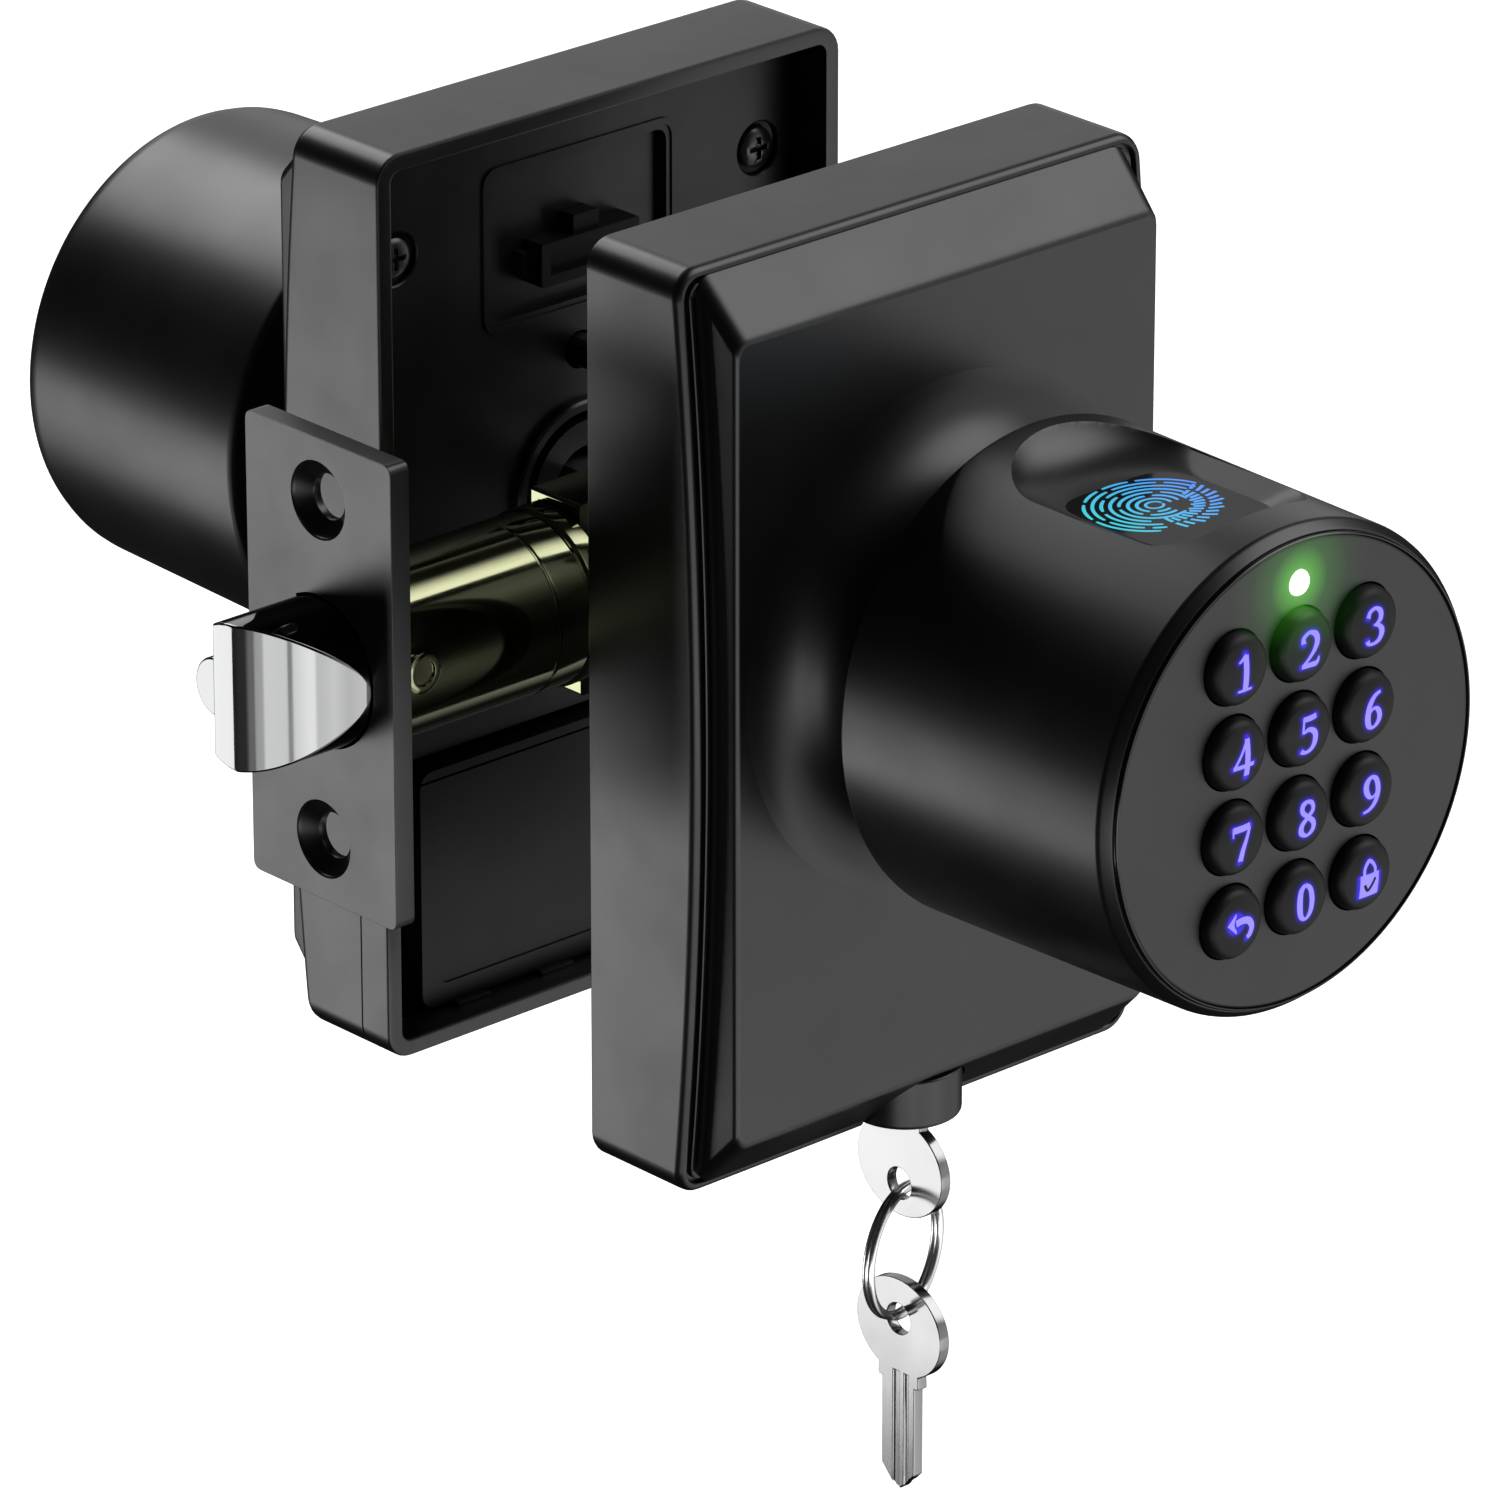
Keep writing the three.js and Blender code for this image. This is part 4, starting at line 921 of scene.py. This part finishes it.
def latch():
    width = (LATCH_Y - PLATE_HALF_WIDTH, LATCH_Y + PLATE_HALF_WIDTH)
    height = (-PLATE_HALF_HEIGHT, PLATE_HALF_HEIGHT)
    plate = make("latch_faceplate_plate", block((PLATE_X, PLATE_X + PLATE_THICK), width, height, 1.3, "x"))
    sink = [(0, -1), (4.7, -1), (4.7, 0.1), (4.5, 0.5), (2.75, 1.7), (2.75, 5), (0, 5)]
    for side in (-1, 1):
        combine(plate, lathe(sink, "x", (PLATE_X, LATCH_Y, side * 20.9), 64))
    combine(plate, prism(d_outline(BOLT_RADIUS + 0.25, 4.1), "x", PLATE_X - 2, PLATE_X + 5))
    combine(plate, rod(PLUNGER_RADIUS + 0.25, PLATE_X - 2, PLATE_X + 5, "x", (0, PLUNGER_Y, 0), 48))
    soften(plate, 0.22, 2, 40)
    fix(plate, FACEPLATE, "latch_faceplate")

    tip = PLATE_X - BOLT_THROW
    bolt = make("latch_bolt_nose", bolt_nose(tip))
    combine(bolt, block((-48.5, -23), (LATCH_Y - 1.5, LATCH_Y + 1.5), (-2, 2)), "UNION")
    combine(bolt, block((-24.9, -21.4), (LATCH_Y - 2.2, LATCH_Y + 2.2), (-10.2, 10.2)), "UNION")
    for low, high in ((8.8, 10.2), (-10.2, -8.8)):
        combine(bolt, block((-22, 4), (LATCH_Y - 2.2, LATCH_Y + 2.2), (low, high)), "UNION")
    place(bolt, CHROME, "latch_bolt", "latch_bolt")

    compression_spring("bolt_spring", "latch_bolt_slide", 3.5, 0.62, -46.8, -30.9, LATCH_Y, 0.22)
    plunger_end = (-49.4, -31.2, LATCH_Y + 6.6)
    compression_spring("plunger_spring", "deadlatch_plunger_slide", 1.2, 0.5, *plunger_end, 0.38)

    turns = np.linspace(-pi / 2, pi / 2, 33)
    outline = [(PLUNGER_Y + PLUNGER_RADIUS * cos(a), PLUNGER_RADIUS * sin(a)) for a in turns]
    plunger = make("deadlatch_plunger_pin", prism(outline, "x", tip + 0.6, -50))
    soften(plunger, 0.3, 3, 40)
    place(plunger, CHROME, "deadlatch_plunger", "deadlatch_plunger")

    # The barrel has two turned grooves, a collar at its rear end and a thick rear wall.
    start = PLATE_X + 3.1
    profile = [
        (9.6, start), (10.3, start), (TUBE_RADIUS, start + 0.2),
        (TUBE_RADIUS, -34.0), (10.3, -33.8), (10.3, -33.4), (TUBE_RADIUS, -33.2),
        (TUBE_RADIUS, -28.9), (10.3, -28.7), (10.3, -28.3), (10.6, -28.1),
        (10.8, -27.9), (10.8, -25.7), (10.6, -25.5), (3, -25.5), (3, -30.5), (9.6, -30.5),
    ]
    tube = make("latch_tube_barrel", lathe(profile, "x", (0, LATCH_Y, 0), 128))
    fix(tube, BRASS, "latch_tube", sharp=50)
    stake = [(0, 0.3), (2.3, 0.3), (2.5, 0.05), (2.5, -0.2), (2.2, -0.35), (1.6, -0.3), (1.5, 0)]
    stake.append((0, 0.05))
    peg = make("latch_tube_stake", lathe(stake, "y", (-54.6, LATCH_Y - TUBE_RADIUS, 1.2), 40))
    fix(peg, BRASS, slot="olive_brass")

    thick = (LATCH_Y - CASE_HALF_THICK, LATCH_Y + CASE_HALF_THICK)
    case = make("latch_case_box", block(CASE, thick, (-CASE_HALF_HEIGHT, CASE_HALF_HEIGHT), 0.5, "y"))
    combine(case, block((-26.2, 17.8), (LATCH_Y - 3, LATCH_Y + 3), (-10.7, 10.7)))
    combine(case, rod(7, 8, 28))
    for x in (-20, 14.5):
        for z in (-8.6, 8.6):
            combine(case, rod(1.1, 8, 28, centre=(x, 0, z), segments=32))
    soften(case, 0.15, 2, 40)
    fix(case, BRASS, "latch_case")


# ---- The interior half ----


def interior_knob():
    face = INTERIOR_KNOB_FACE
    edge = [(29.0, 3.2), (28.9, 2.2), (28.55, 1.2), (27.9, 0.45), (27.0, 0.1), (26.0, 0), (0, 0)]
    edge = at_face(edge + [(0, 3), (KNOB_HOLLOW, 3)], face)
    knob = make("interior_knob_body", lathe(KNOB_SIDE + edge + HOLLOW, segments=160))
    place(knob, SATIN, "interior_knob", "interior_knob_shell", interior=True, sharp=32)


def interior_shells():
    """The fixed half above the battery cover's seam, and the cover below it."""
    below = block((-50, 50), (-40, -4.8), (-80, COVER_TOP + 0.3))
    rose = bored("interior_rose_shell", rose_mesh(), below)
    soften(rose, 0.2, 2, 60)
    fix(rose, SATIN, "interior_base", interior=True)
    panel = bored("interior_panel_shell", panel_mesh(), below)
    fix(panel, SATIN, "interior_panel", interior=True, sharp=50)
    neck = make("interior_neck_flare", neck_mesh())
    combine(neck, block((-60, 60), (-21.6, -10), (-80, 80)))
    fix(neck, SATIN, "interior_neck", interior=True)

    cover = make("battery_cover_shell", rose_mesh())
    inside = ROSE_HALF - ROSE_WALL
    combine(cover, block((-inside, inside), (-12.7, 5), (ROSE_BOTTOM + ROSE_WALL, 60)))
    combine(cover, panel_mesh(), "UNION")
    combine(cover, block((-31.7, 31.7), (-20, 5), (-55.2, 60)))
    combine(cover, block((-50, 50), (-40, -5), (-80, COVER_TOP)), "INTERSECT")
    soften(cover, 0.2, 2, 60)
    place(cover, SATIN, "battery_cover", "battery_cover", interior=True, sharp=50)


def cross_screw(name, x, z, node):
    profile = [(0, -10.6), (1.4, -10.6), (1.4, -6.85), (2.5, -6.85), (2.6, -6.7), (2.5, -6.3)]
    profile += [(2.0, -5.95), (1.0, -5.8), (0, -5.78)]
    screw = make(name, lathe(profile, centre=(x, 0, z), segments=48))
    for wide, high in ((1.4, 0.32), (0.32, 1.4)):
        combine(screw, block((x - wide, x + wide), (-6.7, -3), (z - high, z + high)))
    soften(screw, 0.08, 2, 40)
    fix(screw, SCREW, node, interior=True)


def interior_tray():
    half = ROSE_HALF - ROSE_WALL - 0.3
    plate = make("interior_plate", block((-half, half), (-7.5, -6), (COVER_TOP + 0.3, 48.5), 1.2))
    combine(plate, block((-15, 15), (-8.6, -7.4), (22.4, 42.8), 2.4), "UNION")
    combine(plate, block((-13.8, 13.8), (-7.4, 1), (23.6, 41.6), 1.8))
    combine(plate, rod(9.2, -20, 1))
    sink = [(0, -20), (1.8, -20), (1.8, -6.95), (3.3, -6.95), (3.3, -6.2), (3.6, -5.9), (3.6, 1), (0, 1)]
    for side in (-1, 1):
        combine(plate, lathe(sink, centre=(side * 28.6, 0, 35.4), segments=48))
        combine(plate, rod(2.4, -20, 1, centre=(0, 0, side * 17), segments=32))
    soften(plate, 0.25, 2, 40)
    fix(plate, TRAY, "interior_mounting_plate", interior=True)
    # A raised line runs round the pocket, and a ring stands round the hub.
    frame_line = make("pocket_frame", block((-15.2, 15.2), (-6.1, -5.75), (22.2, 43.0), 2.6))
    combine(frame_line, block((-14.5, 14.5), (-8, 0), (22.9, 42.3), 2.1))
    fix(frame_line, TRAY, interior=True, slot="black_plastic")
    hub = [(9.25, -6.1), (9.25, -5.3), (9.5, -5.0), (10.4, -5.0), (10.7, -5.3), (10.7, -6.1)]
    hub = make("hub_ring", lathe(hub, segments=80))
    fix(hub, TRAY, interior=True, slot="black_plastic")

    socket = make("connector_shell", block((-7.8, 7.6), (-7.35, -4.1), (27.0, 32.4), 0.3))
    combine(socket, block((7.0, 9.4), (-7.35, -5.6), (28.4, 31.4), 0.3), "UNION")
    combine(socket, block((-2, 2), (-7.35, -4.8), (32.0, 34.6), 0.3), "UNION")
    combine(socket, block((-6.4, 6.2), (-5.2, -3), (28.3, 31.1)))
    soften(socket, 0.15, 2, 40)
    # Its duller black is painted shade for the pocket it sits in.
    fix(socket, SHADED_CONNECTOR_BLACK, "connector_socket", interior=True)

    cross_screw("plate_screw_left_head", 28.6, 35.4, "plate_screw_left")
    cross_screw("plate_screw_right_head", -28.6, 35.4, "plate_screw_right")


def battery_box():
    box = make("battery_box_shell", block((-27.4, 27.4), (-19.4, -4.2), (-60.2, -29.6), 2.2))
    combine(box, block((-26.3, 26.3), (-22, -5.1), (-59.1, -30.7), 1.4))
    chamfer = [(-13.7, -60.4), (-20.2, -54.1), (-26, -54.1), (-26, -64), (-13.7, -64)]
    combine(box, prism(chamfer, "x", -40, 40))
    # A shallow step runs round the back of the box, and its upper edge carries a seam.
    combine(box, block((-24.8, 24.8), (-4.45, -3), (-57.6, -32.2), 1.6))
    combine(box, block((-28, 28), (-5.2, -3), (-31.05, -30.75)))
    soften(box, 0.3, 3, 40)
    fix(box, BATTERY_BLACK, "battery_box", interior=True)
    for i, x in enumerate((-20, -6.7, 6.7, 20)):
        clip = make(f"tray_clip_{i}", block((x - 2.6, x + 2.6), (-6.4, -3.2), (-60.8, -60.25), 0.2))
        soften(clip, 0.1, 2, 40)
        fix(clip, TRAY, interior=True, slot="black_plastic")


# ---- CAD nodes that keep their own shape ----

KEPT = [
    (RUBBER, ["exterior_gasket", "cable_grommet"]),
    (ZINC, ["exterior_mounting_plate", "exterior_post_upper", "exterior_post_lower"]),
    (ZINC, ["exterior_knob_stem", "clutch_motor", "latch_hub", "spindle"]),
    (TRAY, ["interior_knob_stem"]),
    (BOARD, ["knob_circuit_board"]),
    (SCREW, ["through_bolt_upper", "through_bolt_lower"]),
    (SLEEVE, ["battery_cell_upper", "battery_cell_lower"]),
]


def dress_kept_nodes():
    for material, names in KEPT:
        for name in names:
            dress(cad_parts[name].data, material)


# ---- Camera, floor and light ----


def aim(obj, target):
    direction = Vector(target) - obj.location
    obj.rotation_euler = direction.to_track_quat("-Z", "Y").to_euler()


def area_light(name, location, target, width, height, energy):
    data = bpy.data.lights.new(name, "AREA")
    data.shape = "RECTANGLE"
    data.size = width
    data.size_y = height
    data.energy = energy
    obj = bpy.data.objects.new(name, data)
    obj.location = location
    bpy.context.scene.collection.objects.link(obj)
    aim(obj, target)


# Soft boxes far from the lock: direction, angles where the light is full and where it ends, and strength.
SOFT_BOXES = [
    ((0.62, -0.38, 0.68), 12, 31, 3.6),
    ((0.62, -0.68, -0.38), 26, 56, 0.8),
    ((0.62, 0.68, 0.35), 12, 32, 0.75),
]
AMBIENT = 0.012
CAMERA = (-0.7702, -0.8305, 0.4561)
CAMERA_TARGET = (-0.0010, 0.01168, -0.02444)
CAMERA_LENS = 252.7
FLOOR_HEIGHT = -0.128

# The low fill: the angle it spans, the place of the lock's front in it, how far below the horizon it lies,
# and how far from there it is still full and where it ends.
FILL_ANGLE = radians(190)
FILL_FRONT = 0.62
FILL_DROP = 0.385
FILL_FULL, FILL_END = 0.13, 0.24

# Brightness of the low fill in front of the lock, round from its left (0) to its right (1).
FILL_STOPS = [
    (0.0, 0.05), (0.255, 0.09), (0.268, 0.6), (0.285, 0.5), (0.29, 1.44),
    (0.317, 1.56), (0.322, 2.76), (0.402, 2.64), (0.406, 0.96), (0.419, 1.02),
    (0.423, 2.76), (0.475, 3.48), (0.495, 3.48), (0.503, 2.28), (0.56, 2.52),
    (0.61, 1.62), (0.67, 1.62), (0.7, 1.9), (0.84, 0.6), (0.95, 0.02),
]


def studio_world(scene):
    """A dark room with soft boxes: light depends only on the direction that it comes from."""
    world = bpy.data.worlds.new("studio")
    scene.world = world
    world.use_nodes = True
    tree = world.node_tree
    join = tree.links.new

    def smooth(socket, low, high, strength):
        step = add_node(tree, "ShaderNodeMapRange", interpolation_type="SMOOTHSTEP")
        set_values(step, From_Min=low, From_Max=high, To_Min=0.0, To_Max=strength)
        join(socket, step.inputs["Value"])
        return step.outputs["Result"]

    def maths(operation, first, second):
        made = add_node(tree, "ShaderNodeMath", operation=operation)
        for i, value in enumerate((first, second)):
            if isinstance(value, float):
                made.inputs[i].default_value = value
            else:
                join(value, made.inputs[i])
        return made.outputs["Value"]

    way = add_node(tree, "ShaderNodeTexCoord").outputs["Generated"]
    total = None
    for direction, full, end, strength in SOFT_BOXES:
        dot = add_node(tree, "ShaderNodeVectorMath", operation="DOT_PRODUCT")
        dot.inputs[1].default_value = Vector(direction).normalized()
        join(way, dot.inputs[0])
        low, high = (cos(radians(angle)) for angle in (end, full))
        light = smooth(dot.outputs["Value"], low, high, strength)
        total = light if total is None else maths("ADD", total, light)

    # The low fill depends on the angle round the lock and on the height.
    split = add_node(tree, "ShaderNodeSeparateXYZ")
    join(way, split.inputs["Vector"])
    # Turned so that the angle runs without a break from the lock's left, round its front, to its right.
    ahead = maths("MULTIPLY", split.outputs["Y"], -1.0)
    turn = maths("ARCTAN2", split.outputs["X"], ahead)
    round_front = maths("MULTIPLY_ADD", turn, 1 / FILL_ANGLE)
    round_front.node.inputs[2].default_value = FILL_FRONT
    ramp = colour_ramp(tree, [(position, [level] * 3) for position, level in FILL_STOPS])
    join(round_front, ramp.inputs["Fac"])
    off_middle = maths("ABSOLUTE", maths("ADD", split.outputs["Z"], FILL_DROP), 0.0)
    fill = smooth(off_middle, FILL_END, FILL_FULL, 1.0)
    total = maths("ADD", total, maths("MULTIPLY", ramp.outputs["Color"], fill))
    total = maths("ADD", total, AMBIENT)

    lit = add_node(tree, "ShaderNodeBackground", Color=(1, 1, 1, 1))
    join(total, lit.inputs["Strength"])
    white = add_node(tree, "ShaderNodeBackground", Color=(1, 1, 1, 1), Strength=1.0)
    path = add_node(tree, "ShaderNodeLightPath")
    mix = add_node(tree, "ShaderNodeMixShader")
    join(path.outputs["Is Camera Ray"], mix.inputs[0])
    join(lit.outputs[0], mix.inputs[1])
    join(white.outputs[0], mix.inputs[2])
    join(mix.outputs[0], tree.nodes["World Output"].inputs["Surface"])


def studio():
    scene = bpy.context.scene
    scene.view_settings.view_transform = "Standard"
    camera_data = bpy.data.cameras.new("camera")
    camera_data.sensor_width = 36
    camera_data.lens = CAMERA_LENS
    camera_data.clip_start = 0.01
    camera_data.clip_end = 20
    camera = bpy.data.objects.new("camera", camera_data)
    camera.location = CAMERA
    scene.collection.objects.link(camera)
    aim(camera, CAMERA_TARGET)
    scene.camera = camera

    bpy.ops.mesh.primitive_plane_add(size=14, location=(0, 0, FLOOR_HEIGHT))
    floor = bpy.context.object
    floor.name = "studio_floor"
    floor.data.materials.append(lamp("pale_floor", (0.8, 0.8, 0.8), 0.6, (1, 1, 1), 0.8, 40, 0.0, 0.05))
    # The floor is a pale backdrop: it neither hides the low soft boxes from the metal nor lights it.
    floor.visible_glossy = False
    floor.visible_diffuse = False
    floor.visible_shadow = False

    studio_world(scene)
    area_light("overhead_softbox", (0.02, 0.48, 0.40), (0, 0.08, 0.02), 0.36, 0.27, 1.5)
    area_light("left_softbox", (-0.43, 0.50, -0.27), (-0.03, 0.05, 0), 0.32, 0.3, 1.14)


exterior_shells()
exterior_knob()
key_cylinder()
make_key("key_in_lock_blank", "key_in_lock", -70.1, 1, -72.3)
make_key("spare_key_blank", "spare_key", -91.2, -1, -90.1)
split_ring()
latch()
interior_shells()
interior_knob()
interior_tray()
battery_box()
dress_kept_nodes()
studio()
